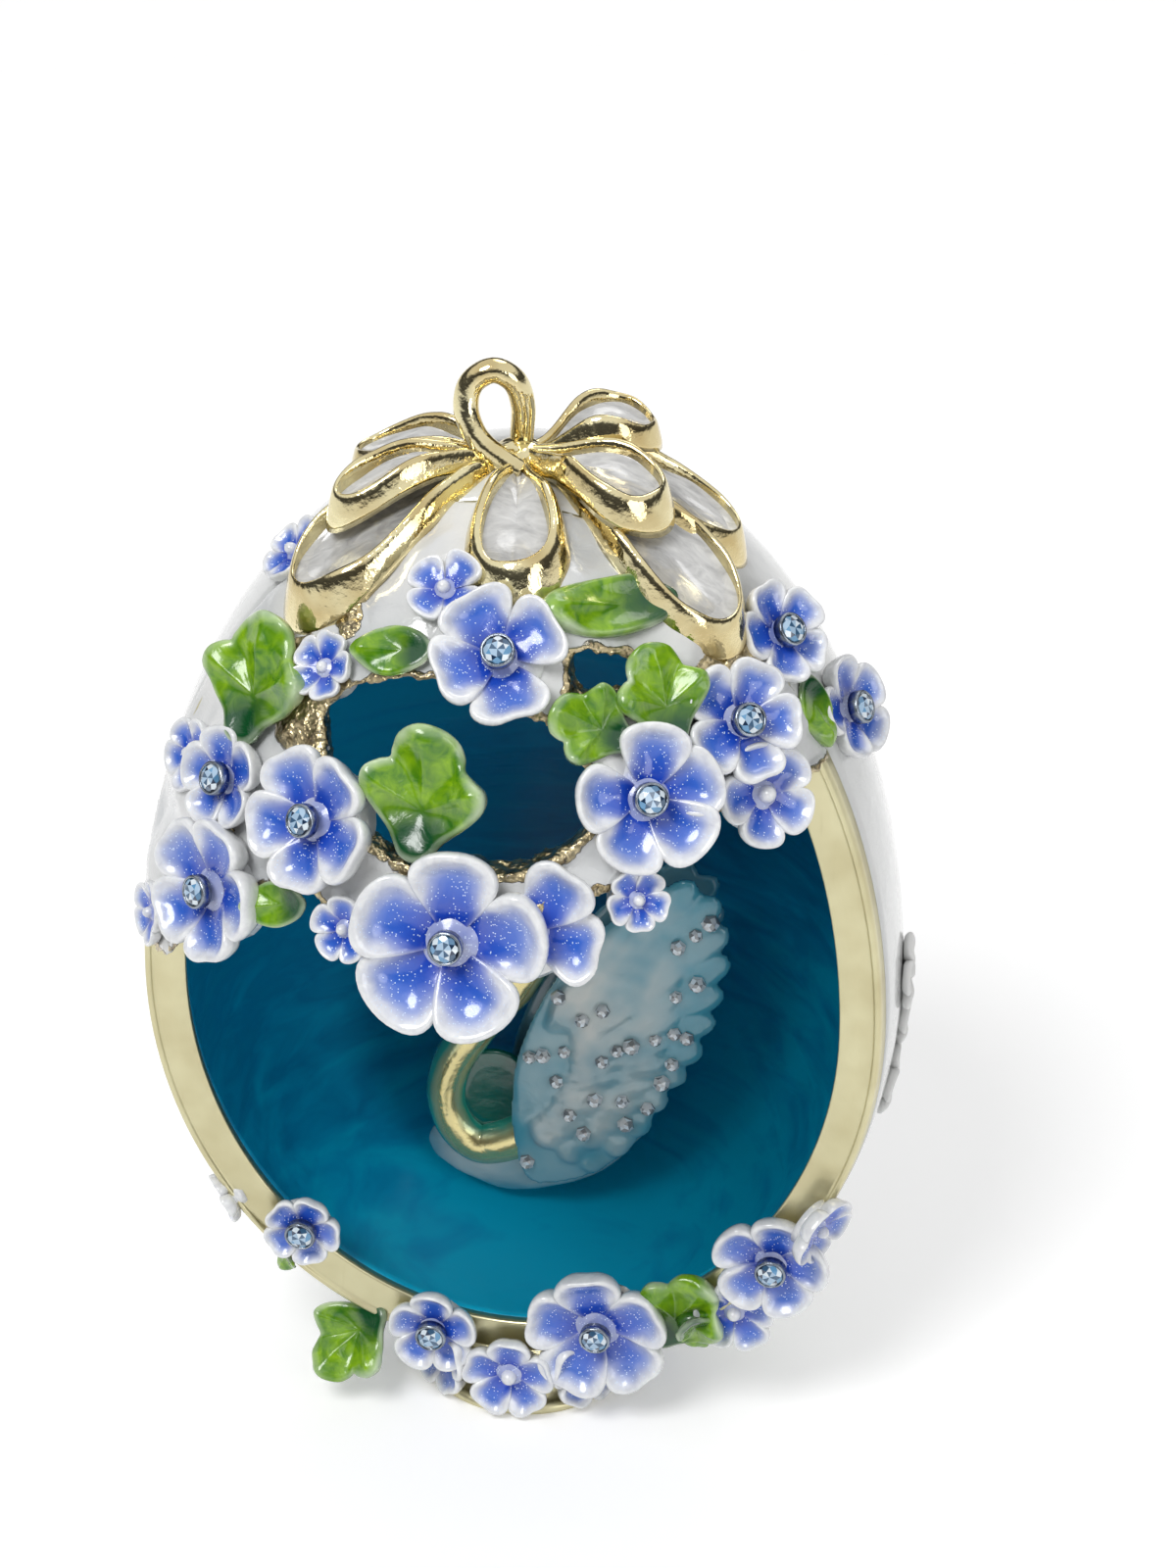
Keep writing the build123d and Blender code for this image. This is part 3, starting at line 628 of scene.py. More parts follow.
def settingTree():
    tree, enter, leave = newGroup(
        "settings", "GeometryNodeTree",
        {"Geometry": ("NodeSocketGeometry", None), "Shape": ("NodeSocketObject", None),
         "Wobble": (numberSocket, 0.0), "Wobble Scale": (numberSocket, 300.0),
         "Seed": ("NodeSocketInt", 0), "Material": ("NodeSocketMaterial", None)},
        {"Geometry": ("NodeSocketGeometry", None)},
    )
    shape = node(tree, "GeometryNodeObjectInfo", None, {0: enter.outputs["Shape"]})
    placed = node(tree, "GeometryNodeInstanceOnPoints", None, {
        "Points": enter.outputs["Geometry"], "Instance": shape.outputs["Geometry"],
        "Rotation": named(tree, "turned", "FLOAT_VECTOR"),
        "Scale": named(tree, "sized", "FLOAT_VECTOR")})
    real = node(tree, "GeometryNodeRealizeInstances", None, {0: placed.outputs[0]})
    ripple = node(tree, "ShaderNodeTexNoise", {"noise_dimensions": "4D"}, {
        "W": enter.outputs["Seed"], "Scale": enter.outputs["Wobble Scale"], "Detail": 1.0})
    shifted = vectorSums(tree, "SUBTRACT", ripple.outputs["Color"], (0.5, 0.5, 0.5))
    scaled = node(tree, "ShaderNodeVectorMath", {"operation": "SCALE"}, {
        0: shifted, "Scale": enter.outputs["Wobble"]})
    moved = node(tree, "GeometryNodeSetPosition", None, {
        "Geometry": real.outputs[0], "Offset": scaled.outputs[0]})
    done = node(tree, "GeometryNodeSetMaterial", None, {
        "Geometry": moved.outputs[0], "Material": enter.outputs["Material"]})
    tree.links.new(done.outputs[0], leave.inputs["Geometry"])
    return tree


eggWall, settings = eggTree(), settingTree()


def grow(mesh, tree, **values):
    # Runs a tree on a mesh and gives back the plain mesh that it makes
    carrier = addObject("carrier", mesh)
    modifier = carrier.modifiers.new("tree", "NODES")
    modifier.node_group = tree
    for socket in tree.interface.items_tree:
        if socket.in_out == "INPUT" and socket.name in values:
            modifier[socket.identifier] = values[socket.name]
    return flatten(carrier)


def flatten(carrier):
    # A plain mesh of an object with its modifiers; the object goes
    evaluated = carrier.evaluated_get(bpy.context.evaluated_depsgraph_get())
    plain = bpy.data.meshes.new_from_object(evaluated)
    bpy.data.objects.remove(carrier)
    return plain


def reskinned(carrier, voxel):
    # One even, slightly softened skin over all that the carrier holds
    remesh = carrier.modifiers.new("skin", "REMESH")
    remesh.mode, remesh.voxel_size = "VOXEL", voxel
    soften = carrier.modifiers.new("soften", "SMOOTH")
    soften.factor, soften.iterations = 0.5, 3
    return flatten(carrier)


def stockShape(name, mesh):
    # A shape that trees set on points; it isn't part of the scene
    return bpy.data.objects.new(name, mesh)


def setOn(shape, places, wobble=(0.0, 300.0), seed=0):
    # places are matrices with their scale; wobble is how far and how finely each copy is uneven
    points = [place.to_translation() for place in places]
    turns = [tuple(place.to_euler()) for place in places]
    sizes = [tuple(place.to_scale()) for place in places]
    seats = meshFrom("seats", points, [], turned=turns, sized=sizes)
    values = {"Wobble": wobble[0], "Wobble Scale": wobble[1], "Seed": seed}
    return grow(seats, settings, Shape=shape, **values)


def sized(*factors):
    three = factors if len(factors) == 3 else factors * 3
    return Matrix.Diagonal((*three, 1))


def raised(height, along=0.0):
    return Matrix.Translation((along, 0.0, height))


def spun(degrees, axis="Z"):
    return Matrix.Rotation(math.radians(degrees), 4, axis)


def finishPiece(name, mesh, finish, nodes, smooth=True):
    piece = addObject(name, mesh)
    mesh.materials.clear()
    mesh.materials.append(finishes[finish])
    for face in mesh.polygons:
        face.material_index = 0
    if smooth:
        mesh.shade_smooth()
    else:
        mesh.shade_flat()
    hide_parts(*nodes)
    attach(piece, "root")


# Rear shell, lining and band
def eggProfile(profile):
    # A wall of the egg from rows of (inset, depth), closed from the last row to the first
    around = egg["around"]
    profile = [*profile, profile[0]]
    points, faces, turns, insets, depths = [], [], [], [], []
    for row, (inset, depth) in enumerate(profile):
        for step in range(around + 1):
            points.append((step * mm, row * mm, 0))
            turns.append(step / around)
            insets.append(inset)
            depths.append(depth)
            if row and step:
                here = row * (around + 1) + step
                faces.append((here - around - 2, here - around - 1, here, here - 1))
    mesh = meshFrom("profile", points, faces, turnShare=turns, inset=insets, depth=depths)
    made = grow(
        mesh, eggWall, Radius=egg["radius"], Upper=egg["upper"], Lower=egg["lower"], Rise=egg["rise"])
    return faceOut(made, 0.002 * mm)


def wallProfile(outer, inner, front, steps=44):
    # From the rear pole of the outer skin to its front edge, and back along the inner skin
    rows = []
    for inset, order in ((outer, range(steps + 1)), (inner, range(steps, -1, -1))):
        radius = egg["radius"] - inset
        last = math.acos(front / radius)
        rows.extend((inset, radius * math.cos(last * step / steps)) for step in order)
    return rows


band = {"beadRise": 0.35 * mm, "round": 0.35 * mm}
front = -egg["opening"]
bandProfile = [
    (0.02 * mm, -egg["bandBack"]), (0.02 * mm, front + 0.1 * mm),
    (0.05 * mm, front - 0.18 * mm), (0.16 * mm, front - 0.31 * mm),
    (0.3 * mm, front - band["beadRise"]), (0.44 * mm, front - 0.31 * mm),
    (0.56 * mm, front - 0.16 * mm), (0.66 * mm, front - 0.03 * mm), (0.85 * mm, front),
    (2.0 * mm, front + 0.02 * mm), (egg["band"] - band["round"], front),
    (egg["band"] - 0.12 * mm, front + 0.08 * mm), (egg["band"], front + 0.3 * mm),
    (egg["band"], -egg["bandBack"]),
]
finishPiece(
    "rearShell", eggProfile(wallProfile(0, egg["wall"], -egg["bandBack"])), "whiteShell",
    ["rear_shell"])
finishPiece(
    "innerLining", eggProfile(wallProfile(egg["wall"], egg["band"], -egg["bandBack"])), "teal",
    ["inner_lining"])
finishPiece("rimBand", eggProfile(bandProfile), "goldSatin", ["rim_band"])
print("shell, lining and band")


# Openwork front: a pierced dome with a rough gold edge
openwork = {
    "back": 6.75 * mm, "out": 0.2 * mm, "wall": 2.0 * mm, "voxel": 0.34 * mm, "crumple": 0.5 * mm,
    "giltReach": 1.2 * mm, "fold": 0.9 * mm, "folds": 4.5 * mm,
    "ragged": 0.7 * mm, "rags": 2.2 * mm,       # how unevenly the enamel ends, and over what length
    # worn to the metal: across, up, reach
    "spots": [
        (0.57, 0.75, 3.2 * mm), (-0.66, 0.46, 2.6 * mm), (-0.43, 0.71, 5 * mm), (-0.36, 0.84, 2 * mm),
        (0.36, 0.88, 1.6 * mm), (0.2, 0.5, 2 * mm),
    ],
    "edge": [
        (-1.1, 0.15), (-0.86, 0.16), (-0.72, 0.29), (-0.6, 0.37), (-0.42, 0.46), (-0.28, 0.39),
        (-0.15, 0.34), (0.03, 0.35), (0.15, 0.43), (0.3, 0.475), (0.42, 0.52), (0.57, 0.57),
        (0.72, 0.54), (0.9, 0.56), (1.1, 0.56),
    ],
    "largeWindow": [
        (-0.375, 0.68), (-0.33, 0.74), (-0.21, 0.775), (-0.1, 0.785), (0.01, 0.77), (0.12, 0.75),
        (0.215, 0.72), (0.28, 0.665), (0.3, 0.60), (0.24, 0.56), (0.12, 0.53), (0, 0.54),
        (-0.14, 0.53), (-0.3, 0.58),
    ],
    "smallWindow": [
        (0.22, 0.82), (0.3, 0.815), (0.38, 0.79), (0.39, 0.755), (0.31, 0.76), (0.23, 0.77),
    ],
}


def frontPoint(across, up):
    return Vector((egg["radius"] * across, 0, equator + egg["upper"] * up))


def prism(outline):
    near, far = Vector((0, -2 * egg["radius"], 0)), Vector((0, -openwork["back"] / 2, 0))
    rings = [[point + shift for point in outline] for shift in (near, far)]
    points, faces = loft(rings)
    count = len(outline)
    faces += [tuple(range(count)), tuple(range(2 * count - 1, count - 1, -1))]
    return addObject("cutter", faceOut(meshFrom("cutter", points, faces)))


def openworkMesh():
    rows = wallProfile(-openwork["out"], openwork["wall"], openwork["back"], 40)
    dome = addObject("dome", eggProfile([(inset, -depth) for inset, depth in rows]))
    edge = smoothPath([frontPoint(*pair) for pair in openwork["edge"]], 6)
    below = [*edge, frontPoint(1.1, -1), frontPoint(-1.1, -1)]
    windows = [
        smoothPath([frontPoint(*pair) for pair in openwork[key]], 6, closed=True)
        for key in ("largeWindow", "smallWindow")
    ]
    cutters = [prism(outline) for outline in (below, *windows)]
    for cutter in cutters:
        cut = dome.modifiers.new("cut", "BOOLEAN")
        cut.object, cut.operation, cut.solver = cutter, "DIFFERENCE", "EXACT"
    mesh = reskinned(dome, openwork["voxel"])
    for cutter in cutters:
        bpy.data.objects.remove(cutter)
    edges = [point for outline in (edge, *windows) for point in outline]
    tree = kdtree.KDTree(len(edges))
    for index, point in enumerate(edges):
        tree.insert(point, index)
    tree.balance()
    gilt = []
    spots = [(frontPoint(across, up), reach) for across, up, reach in openwork["spots"]]
    for vertex in mesh.vertices:
        place = vertex.co
        near = tree.find((place.x, 0, place.z))[2]
        level = (place.z - equator) / egg["upper"]
        size = Vector((place.x / egg["radius"], place.y / egg["radius"], level))
        deep = (1 - size.length) * egg["radius"] / openwork["wall"]     # 0 outside, 1 inside
        rough = openwork["ragged"] * noise.noise(place / openwork["rags"])
        worn = max(ease(openwork["giltReach"], 0.3 * mm, near + rough), ease(0.35, 0.6, deep))
        for spot, reach in spots:
            away = math.hypot(place.x - spot.x, place.z - spot.z) + rough
            worn = max(worn, ease(reach, 0.5 * reach, away))
        gilt.append(worn)
        shift = noise.noise_vector(place / (1.1 * mm)) + noise.noise_vector(place / (0.5 * mm)) * 0.5
        fold = noise.noise(place / openwork["folds"]) * openwork["fold"] * (1 - worn)
        ahead = ease(openwork["back"], openwork["back"] + 3 * mm, -place.y)
        vertex.co = place + shift * openwork["crumple"] * (0.1 + 0.9 * worn) * 0.5
        vertex.co += size.normalized() * ahead * (fold - 0.3 * openwork["fold"] * (1 - worn))
        if vertex.co.y > -openwork["back"]:
            vertex.co.y = -openwork["back"]
    paint(mesh, "gilt", gilt)
    return mesh


finishPiece("frontOpenwork", openworkMesh(), "whiteGilt", ["front_openwork"])
print("openwork front")


# Blossoms: a petal shape is set round a small boss
blossom = {
    "diameter": 15 * mm, "lift": 2.4 * mm, "root": 1.8 * mm, "dish": 0.7 * mm,
    "spread": 1.09,            # petals reach a little past the CAD's plate
    "dishShare": 0.075,        # how deep a petal is, of the blossom's diameter
    "spring": 0.22, "stack": 0.016, "tilt": 7,
    "wobble": 0.035, "broadOfFour": 1.2,
}
petalProfile = [
    (0, -1.0), (0.16, -0.99), (0.32, -0.93), (0.46, -0.80), (0.58, -0.60), (0.68, -0.36),
    (0.76, -0.16), (0.83, -0.04), (0.89, 0.0), (0.94, -0.05), (0.975, -0.17), (0.995, -0.36),
    (1.0, -0.6), (0.99, -0.9), (0.95, -1.3), (0.87, -1.8), (0.78, -2.3), (0.5, -2.6), (0.25, -2.65),
    (0, -2.65),
]


def petalMesh(name, notch, lean):
    outline = []
    for step in range(40):
        angle = math.tau * step / 40
        dent = notch * math.exp(-(math.sin(angle / 2) / 0.16) ** 2)
        along = 0.265 + 0.235 * math.cos(angle) - dent
        across = 0.252 * math.sin(angle) * (1 + 0.2 * math.cos(angle)) * (1 + lean * math.sin(angle))
        beside = (abs(across) / max(0.92 * along, 1e-6)) ** 4     # where the next petal begins
        outline.append((along, across / (1 + beside) ** 0.25))
    depth = blossom["dishShare"]

    def spring(point, edge):
        out = math.hypot(point.x, point.y)
        low = -0.85 * depth
        if point.z > low:
            point.z = low + (point.z - low) * (0.1 + 0.9 * ease(0.12, 0.42, out))
        flatter = 0.6 if out > 0.42 else 1
        point.z += blossom["spring"] * (out - 0.42) * flatter - (0.04 if out < 0.1 else 0)
        return point

    profile = [(share, height * depth) for share, height in petalProfile]
    mesh = pad(name, outline, profile, spring, (0.3, 0))
    heart = [min(1.0, math.hypot(vertex.co.x, vertex.co.y) / 0.45) for vertex in mesh.vertices]
    paint(mesh, "heart", heart)
    for item, out in zip(mesh.attributes["edge"].data, heart):     # the rim thins towards the heart
        thin = 0.8 * (1 - ease(0.28, 0.72, out))
        item.value = max(0.0, (item.value - thin) / (1 - thin)) * (0.45 + 0.55 * ease(0.3, 0.8, out))
    return mesh


petals = [
    stockShape("petalRound", petalMesh("petalRound", 0.0, 0.04)),
    stockShape("petalHeart", petalMesh("petalHeart", 0.028, -0.05)),
]


def bossMesh(diameter, depth):
    # The solid middle of a blossom, down to what carries it
    top = -1.05 * blossom["dishShare"] * diameter
    rows = [(0, top), (0.07, top), (0.16, 1.9 * top), (0.3, 2.4 * top), (0.34, -depth), (0, -depth)]
    points, faces = lathe([(diameter * share, height) for share, height in rows], 24)
    pale = [0.55 if point.z > 2 * top else 1.0 for point in points]     # bluer round the crystal
    return faceOut(meshFrom("boss", points, faces, edge=pale, heart=pale))


def beadMesh(diameter, height):
    # The raised white dot in a blossom that has no crystal
    rows = [(0, 1.0), (0.45, 0.85), (0.8, 0.5), (1.0, 0.0), (0.9, -0.8), (0, -1.0)]
    points, faces = lathe([(diameter * share, height + diameter * rise) for share, rise in rows], 12)
    nearlyWhite = [0.85] * len(points)
    return faceOut(meshFrom("bead", points, faces, edge=nearlyWhite, heart=nearlyWhite))


def blossomMesh(diameter, turns, depth, seed, beaded=False):
    dice = random.Random(seed)
    places = []
    broad = blossom["broadOfFour"] if len(turns) == 4 else 1
    for number, turn in enumerate(turns):
        size = dice.uniform(0.94, 1.03)
        step = number % 2 * blossom["stack"] * diameter
        places.append(
            spun(turn) @ spun(dice.uniform(-1, 1) * blossom["tilt"], "X") @ raised(-step)
            @ sized(diameter * size, diameter * size * broad, diameter * size))
    wobble = (blossom["wobble"] * diameter, 3.2 / diameter)
    parts = [setOn(petals[seed % 2], places, wobble, seed), bossMesh(diameter, depth)]
    if beaded and len(turns) > 3:
        parts.append(beadMesh(diameter * 0.085, -0.8 * blossom["dishShare"] * diameter))
    return joined("blossom", parts)


def evenly(count, start):
    return [start + 360 * number / count for number in range(count)]


# turn, height, size share, petal turns, facing, lift share
garlandBlossoms = {
    1: (-44, 0.38, 0.78, evenly(5, 80), 0.88, 1.05),
    2: (-48, 0.55, 0.55, evenly(5, 110), 0.8, 0.9),
    3: (-26, 0.56, 0.77, evenly(5, 60), 1.15, 1.0),
    4: (-1, 0.42, 1.0, [86, 10, -62, -134, 158], 1, 0.97),
    5: (10.5, 0.44, 0.78, [55, -14], 0.9, 0.7),
    6: (32, 0.62, 0.78, [76, 12, -49, -120, 172], 0.7, 1.0),
    7: (55, 0.68, 0.64, evenly(5, 60), 0.65, 1.1),
    8: (55, 0.57, 0.55, evenly(5, 30), 0.7, 0.7),
    9: (79, 0.74, 0.56, evenly(5, 95), 0.7, 0.8),
    10: (88, 0.57, 0.55, evenly(5, 85), 0.8, 0.8),
    11: (5, 0.82, 0.71, [33, 122, 204, 288], 1, 1.0),
    12: (-13, 0.89, 0.4, evenly(4, 60), 0.9, 0.6),
    13: (-36, 0.76, 0.36, evenly(5, 90), 0.8, 0.55),
    14: (-18, 0.41, 0.36, evenly(5, 20), 1, 0.4),
    15: (28, 0.475, 0.34, evenly(5, 50), 1, 0.45),
    16: (-64, 0.52, 0.4, evenly(5, 0), 0.8, 0.45),
    17: (-76, 0.83, 0.4, evenly(5, 40), 0.9, 0.5),
    18: (-64, 0.22, 0.36, evenly(5, 15), 0.9, 0.45),
}
# angle, inset share, size share, petal turns, lift share
rimBlossoms = {
    1: (-42, 1.15, 0.45, evenly(5, 70), 0.8),
    2: (-13.5, 0.55, 0.52, evenly(5, 90), 0.9),
    3: (16, 0.94, 0.86, evenly(5, 100), 1.1),
    4: (49, 0.3, 0.66, evenly(5, 80), 0.9),
}
crystalSeats = []


def placeBlossom(seat, share, turns, lift, root, seed, crystal):
    mesh = blossomMesh(
        blossom["diameter"] * share * blossom["spread"], turns, lift + root, seed, not crystal)
    mesh.transform(seat @ raised(lift))
    if crystal:
        crystalSeats.append(seat @ raised(lift - blossom["dish"] * share))
    return mesh


for number, (turn, height, share, turns, facing, liftShare) in garlandBlossoms.items():
    mesh = placeBlossom(
        skinSeat(turn, height, facing), share, turns, blossom["lift"] * liftShare,
        blossom["root"], 10 + number, share > 0.54 and liftShare > 0.7)
    finishPiece(
        f"garlandBlossom{number:02d}", mesh, "petal", [f"garland_flower_{number}"])
for number, (angle, inset, share, turns, liftShare) in rimBlossoms.items():
    mesh = placeBlossom(
        rimSeat(angle, inset), share, turns, blossom["lift"] * liftShare, 0, 40 + number, True)
    finishPiece(f"rimBlossom{number}", mesh, "petal", [f"rim_flower_{number}"])

# seat, size share, turn of the petals, root
sideBlossoms = [
    (rimSeat(38, -0.15), 0.47, 20, 0),
    (skinSeat(72, -0.5, 0.8, 0.6), 0.42, 60, blossom["root"] / 2),
    (skinSeat(-75, -0.6, 0.8, 0.6), 0.3, 10, blossom["root"] / 2),
]
sideMeshes = [
    placeBlossom(seat, share, evenly(5, spin), blossom["lift"] / 2, root, seed, False)
    for seed, (seat, share, spin, root) in enumerate(sideBlossoms, 51)
]
finishPiece("sideBlossoms", joined("sideBlossoms", sideMeshes), "petal", ["side_flowers"])

foot = {
    "radius": 9.6 * mm, "waist": 8.6 * mm, "wreath": 8.7 * mm, "level": 4.5 * mm, "lift": 1.9 * mm,
    "count": 8,
}
wreathShape = stockShape(
    "wreathBlossom", blossomMesh(foot["wreath"], evenly(5, 90), foot["lift"], 61, True))
wreathPlaces = [
    footSeat(turn, foot["waist"], foot["level"]) @ raised(foot["lift"])
    for turn in evenly(foot["count"], 0)
]
wreath = setOn(wreathShape, wreathPlaces, (0.3 * mm, 400.0), 7)
finishPiece("footBlossoms", wreath, "petal", ["foot_flowers"])

# White blossoms in relief, low on the right side of the shell and again on the left
relief = {
    "clusters": (97, 263), "spray": ((-3, 0.02), (3, -0.13), (-1, -0.28)),
    "diameter": 6.8 * mm, "lift": 1.2 * mm, "depth": 1.0 * mm,
    # how each is domed: lifted, made flatter towards its rim, and sunk there, in mm
    "raise": 0.5, "flatter": 0.45, "sink": 0.1, "sinkRim": 0.75,
}
reliefPlaces = [
    skinSeat(cluster + step, height) @ raised(relief["lift"]) @ spun(cluster + step)
    for cluster in relief["clusters"] for step, height in relief["spray"]
]
reliefBlossom = blossomMesh(relief["diameter"], evenly(5, 0), relief["depth"], 70)
for vertex in reliefBlossom.vertices:
    away = math.hypot(vertex.co.x, vertex.co.y) / (relief["diameter"] / 2)
    height = (vertex.co.z + relief["raise"] * mm) * (1 - relief["flatter"] * min(1, away**2))
    vertex.co.z = height - (relief["sink"] + relief["sinkRim"] * away**2) * mm
reliefShape = stockShape("reliefBlossom", reliefBlossom)
reliefMesh = setOn(reliefShape, reliefPlaces, (0.3 * mm, 350.0), 9)
finishPiece("shellRelief", reliefMesh, "whiteReliefPaintedLight", ["shell_relief"])
print("blossoms")


# Crystals and the cups that hold them
crystal = {
    "radius": 1.2 * mm, "wall": 0.2 * mm, "height": 0.9 * mm, "floor": 0.2 * mm,
    "girdle": 0.6 * mm, "crown": 0.35 * mm,
}


def brilliantMesh(radius, girdle, crown, foldCount=8, seed=3):
    # Table, star, kite and girdle facets, each with its own painted tone of reflected light
    dice = random.Random(seed)
    rings = [
        [Vector((radius * reach * math.cos(math.tau * (step + shift) / foldCount),
                 radius * reach * math.sin(math.tau * (step + shift) / foldCount), height))
         for step in range(foldCount)]
        for reach, height, shift in (
            (0.54, girdle + crown, 0), (0.82, girdle + crown * 0.55, 0.5), (1.0, girdle, 0),
            (1.0, 0, 0))
    ]
    work = bmesh.new()
    rows = [[work.verts.new(point) for point in ring] for ring in rings]
    hub = work.verts.new((0, 0, girdle + crown * 0.98))
    for step in range(foldCount):
        after = (step + 1) % foldCount
        table, star, belt, base = rows
        work.faces.new((table[step], table[after], hub))
        work.faces.new((table[after], table[step], star[step]))
        work.faces.new((table[after], star[step], belt[after], star[after]))
        work.faces.new((star[step], belt[step], belt[after]))
        work.faces.new((belt[step], base[step], base[after], belt[after]))
    work.faces.new(rows[3])
    bmesh.ops.recalc_face_normals(work, faces=work.faces)
    bmesh.ops.split_edges(work, edges=work.edges)
    mesh = bpy.data.meshes.new("brilliant")
    work.to_mesh(mesh)
    work.free()
    facetGlints = [0.0] * len(mesh.vertices)
    for face in mesh.polygons:
        facetGlint = dice.choice([0.0, 0.12, 0.3, 0.5, 0.7, 1.0])
        for corner in face.vertices:
            facetGlints[corner] = facetGlint
    paint(mesh, "facetGlint", facetGlints)
    return mesh


def cupMesh(inner, wall, height, floor):
    rows = [
        (0, floor), (inner, floor), (inner, height - 0.1 * mm), (inner - 0.08 * mm, height),
        (inner + wall * 0.5, height + 0.03 * mm), (inner + wall, height - 0.1 * mm),
        (inner + wall, 0), (0, 0),
    ]
    return faceOut(meshFrom("cup", *lathe(rows, 24)))


stoneShape = stockShape("stone", brilliantMesh(crystal["radius"], crystal["girdle"], crystal["crown"]))
cupShape = stockShape(
    "cup", cupMesh(crystal["radius"], crystal["wall"], crystal["height"], crystal["floor"]))
stoneSeats = [
    seat @ raised(crystal["floor"]) @ spun(17 * index) for index, seat in enumerate(crystalSeats)
]
finishPiece("crystalCups", setOn(cupShape, crystalSeats), "cup", ["crystal_cups"])
finishPiece(
    "crystals", setOn(stoneShape, stoneSeats), "crystal", ["crystals"], smooth=False)
print("crystals:", len(crystalSeats))


# Leaves: outlines from the stalk round to the stalk, as shares of the leaf's length
leafLook = {"length": 10.5 * mm, "lift": 1.5 * mm, "root": 1.4 * mm, "puff": 0.085, "stalk": 0.42}
leafOutlines = {
    "ivy": [
        (-0.5, 0), (-0.46, 0.12), (-0.3, 0.22), (-0.16, 0.36), (-0.02, 0.47), (0.12, 0.46),
        (0.2, 0.37), (0.23, 0.3), (0.3, 0.29), (0.42, 0.24), (0.5, 0.1), (0.49, -0.06), (0.42, -0.19),
        (0.3, -0.26), (0.22, -0.28), (0.16, -0.36), (0.08, -0.46), (-0.05, -0.46), (-0.18, -0.36),
        (-0.32, -0.2), (-0.46, -0.1),
    ],
    "oval": [
        (-0.5, 0), (-0.42, 0.15), (-0.25, 0.25), (0, 0.31), (0.22, 0.27), (0.4, 0.14), (0.5, 0),
        (0.4, -0.13), (0.22, -0.25), (0, -0.3), (-0.25, -0.25), (-0.42, -0.14),
    ],
    "long": [
        (-0.5, 0), (-0.42, 0.12), (-0.25, 0.19), (0, 0.22), (0.25, 0.18), (0.42, 0.1), (0.5, 0),
        (0.42, -0.11), (0.25, -0.18), (0, -0.2), (-0.25, -0.2), (-0.42, -0.12),
    ],
}
leafProfile = [
    (0, -0.62), (0.12, -0.62), (0.25, -0.58), (0.4, -0.48), (0.55, -0.32), (0.66, -0.17), (0.76, -0.05),
    (0.85, 0.0), (0.92, -0.06), (0.965, -0.2), (0.99, -0.42), (1.0, -0.7), (0.985, -1.0), (0.93, -1.4),
    (0.8, -1.8), (0.5, -2.0), (0, -2.0),
]
leafLobes = {"ivy": (0, 66, -66), "oval": (0,), "long": (0,)}


def leafMesh(length, kind, depth, seed):
    outline = [tuple(point)[:2] for point in smoothPath(
        [(*pair, 0) for pair in leafOutlines[kind]], 4, closed=True)]
    centre = (-0.12, 0)
    lobes = [math.radians(turn) for turn in leafLobes[kind]]

    def shapeLeaf(point, edge):
        turn = math.atan2(point.y - centre[1], point.x - centre[0])
        gap = min(abs(math.atan2(math.sin(turn - lobe), math.cos(turn - lobe))) for lobe in lobes)
        out = math.hypot(point.x - centre[0], point.y - centre[1])
        vein = math.exp(-(gap * out / 0.03) ** 2) * ease(0.02, 0.1, out) * ease(1.0, 0.75, edge)
        wave = noise.noise(Vector((point.x * 5, point.y * 5, seed * 1.3)))
        if edge <= 1:
            lobe = (math.exp(-(gap / 0.42) ** 2) - 0.55) * ease(0.08, 0.35, out)
            wave *= ease(0.1, 0.5, out)
            point.z += 0.02 * vein + 0.06 * wave + 0.12 * (out - 0.3) + 0.1 * lobe
        return point

    profile = [(share, height * leafLook["puff"]) for share, height in leafProfile]
    mesh = pad("leaf", outline, profile, shapeLeaf, centre)
    paint(mesh, "hollow", [
        ease(0.6, 0.08, math.hypot(vertex.co.x + 0.45, vertex.co.y * 1.1)) for vertex in mesh.vertices])
    mesh.transform(sized(length))
    stalk = [Vector((0, 0, -1.7 * leafLook["puff"] * length)), Vector((0, 0, -depth))]
    root = tube("stalk", stalk, Vector((1, 0, 0)), [(length * leafLook["stalk"],) * 2] * 2)
    for key in ("edge", "hollow"):
        paint(root, key, [0.7] * len(root.vertices))
    return joined("leaf", [mesh, root])


# turn, height, length share, kind, heading, facing, lift share
garlandLeaves = {
    1: (-50, 0.7, 1.05, "ivy", 95, 0.65, 1.6),
    2: (-7, 0.635, 1.05, "ivy", 88, 1, 1.1),
    3: (-21, 0.81, 0.66, "oval", 195, 0.9, 0.8),
    4: (35, 0.87, 1.15, "long", 175, 1, 0.8),
    5: (24, 0.73, 0.7, "ivy", 150, 1, 0.8),
    6: (40, 0.75, 0.8, "ivy", 95, 0.8, 1.1),
    7: (77, 0.62, 0.6, "oval", 260, 0.8, 0.6),
    8: (-31, 0.41, 0.6, "oval", 200, 0.9, 0.6),
}


def placeLeaf(seat, share, kind, heading, lift, root, seed, slide=0.0):
    mesh = leafMesh(leafLook["length"] * share, kind, lift + root, seed)
    mesh.transform(seat @ raised(lift) @ spun(heading) @ raised(0, slide))
    return mesh


for number, (turn, height, share, kind, heading, facing, liftShare) in garlandLeaves.items():
    mesh = placeLeaf(
        skinSeat(turn, height, facing), share, kind, heading, leafLook["lift"] * liftShare,
        leafLook["root"], number)
    finishPiece(f"garlandLeaf{number}", mesh, "leaf", [f"garland_leaf_{number}"])

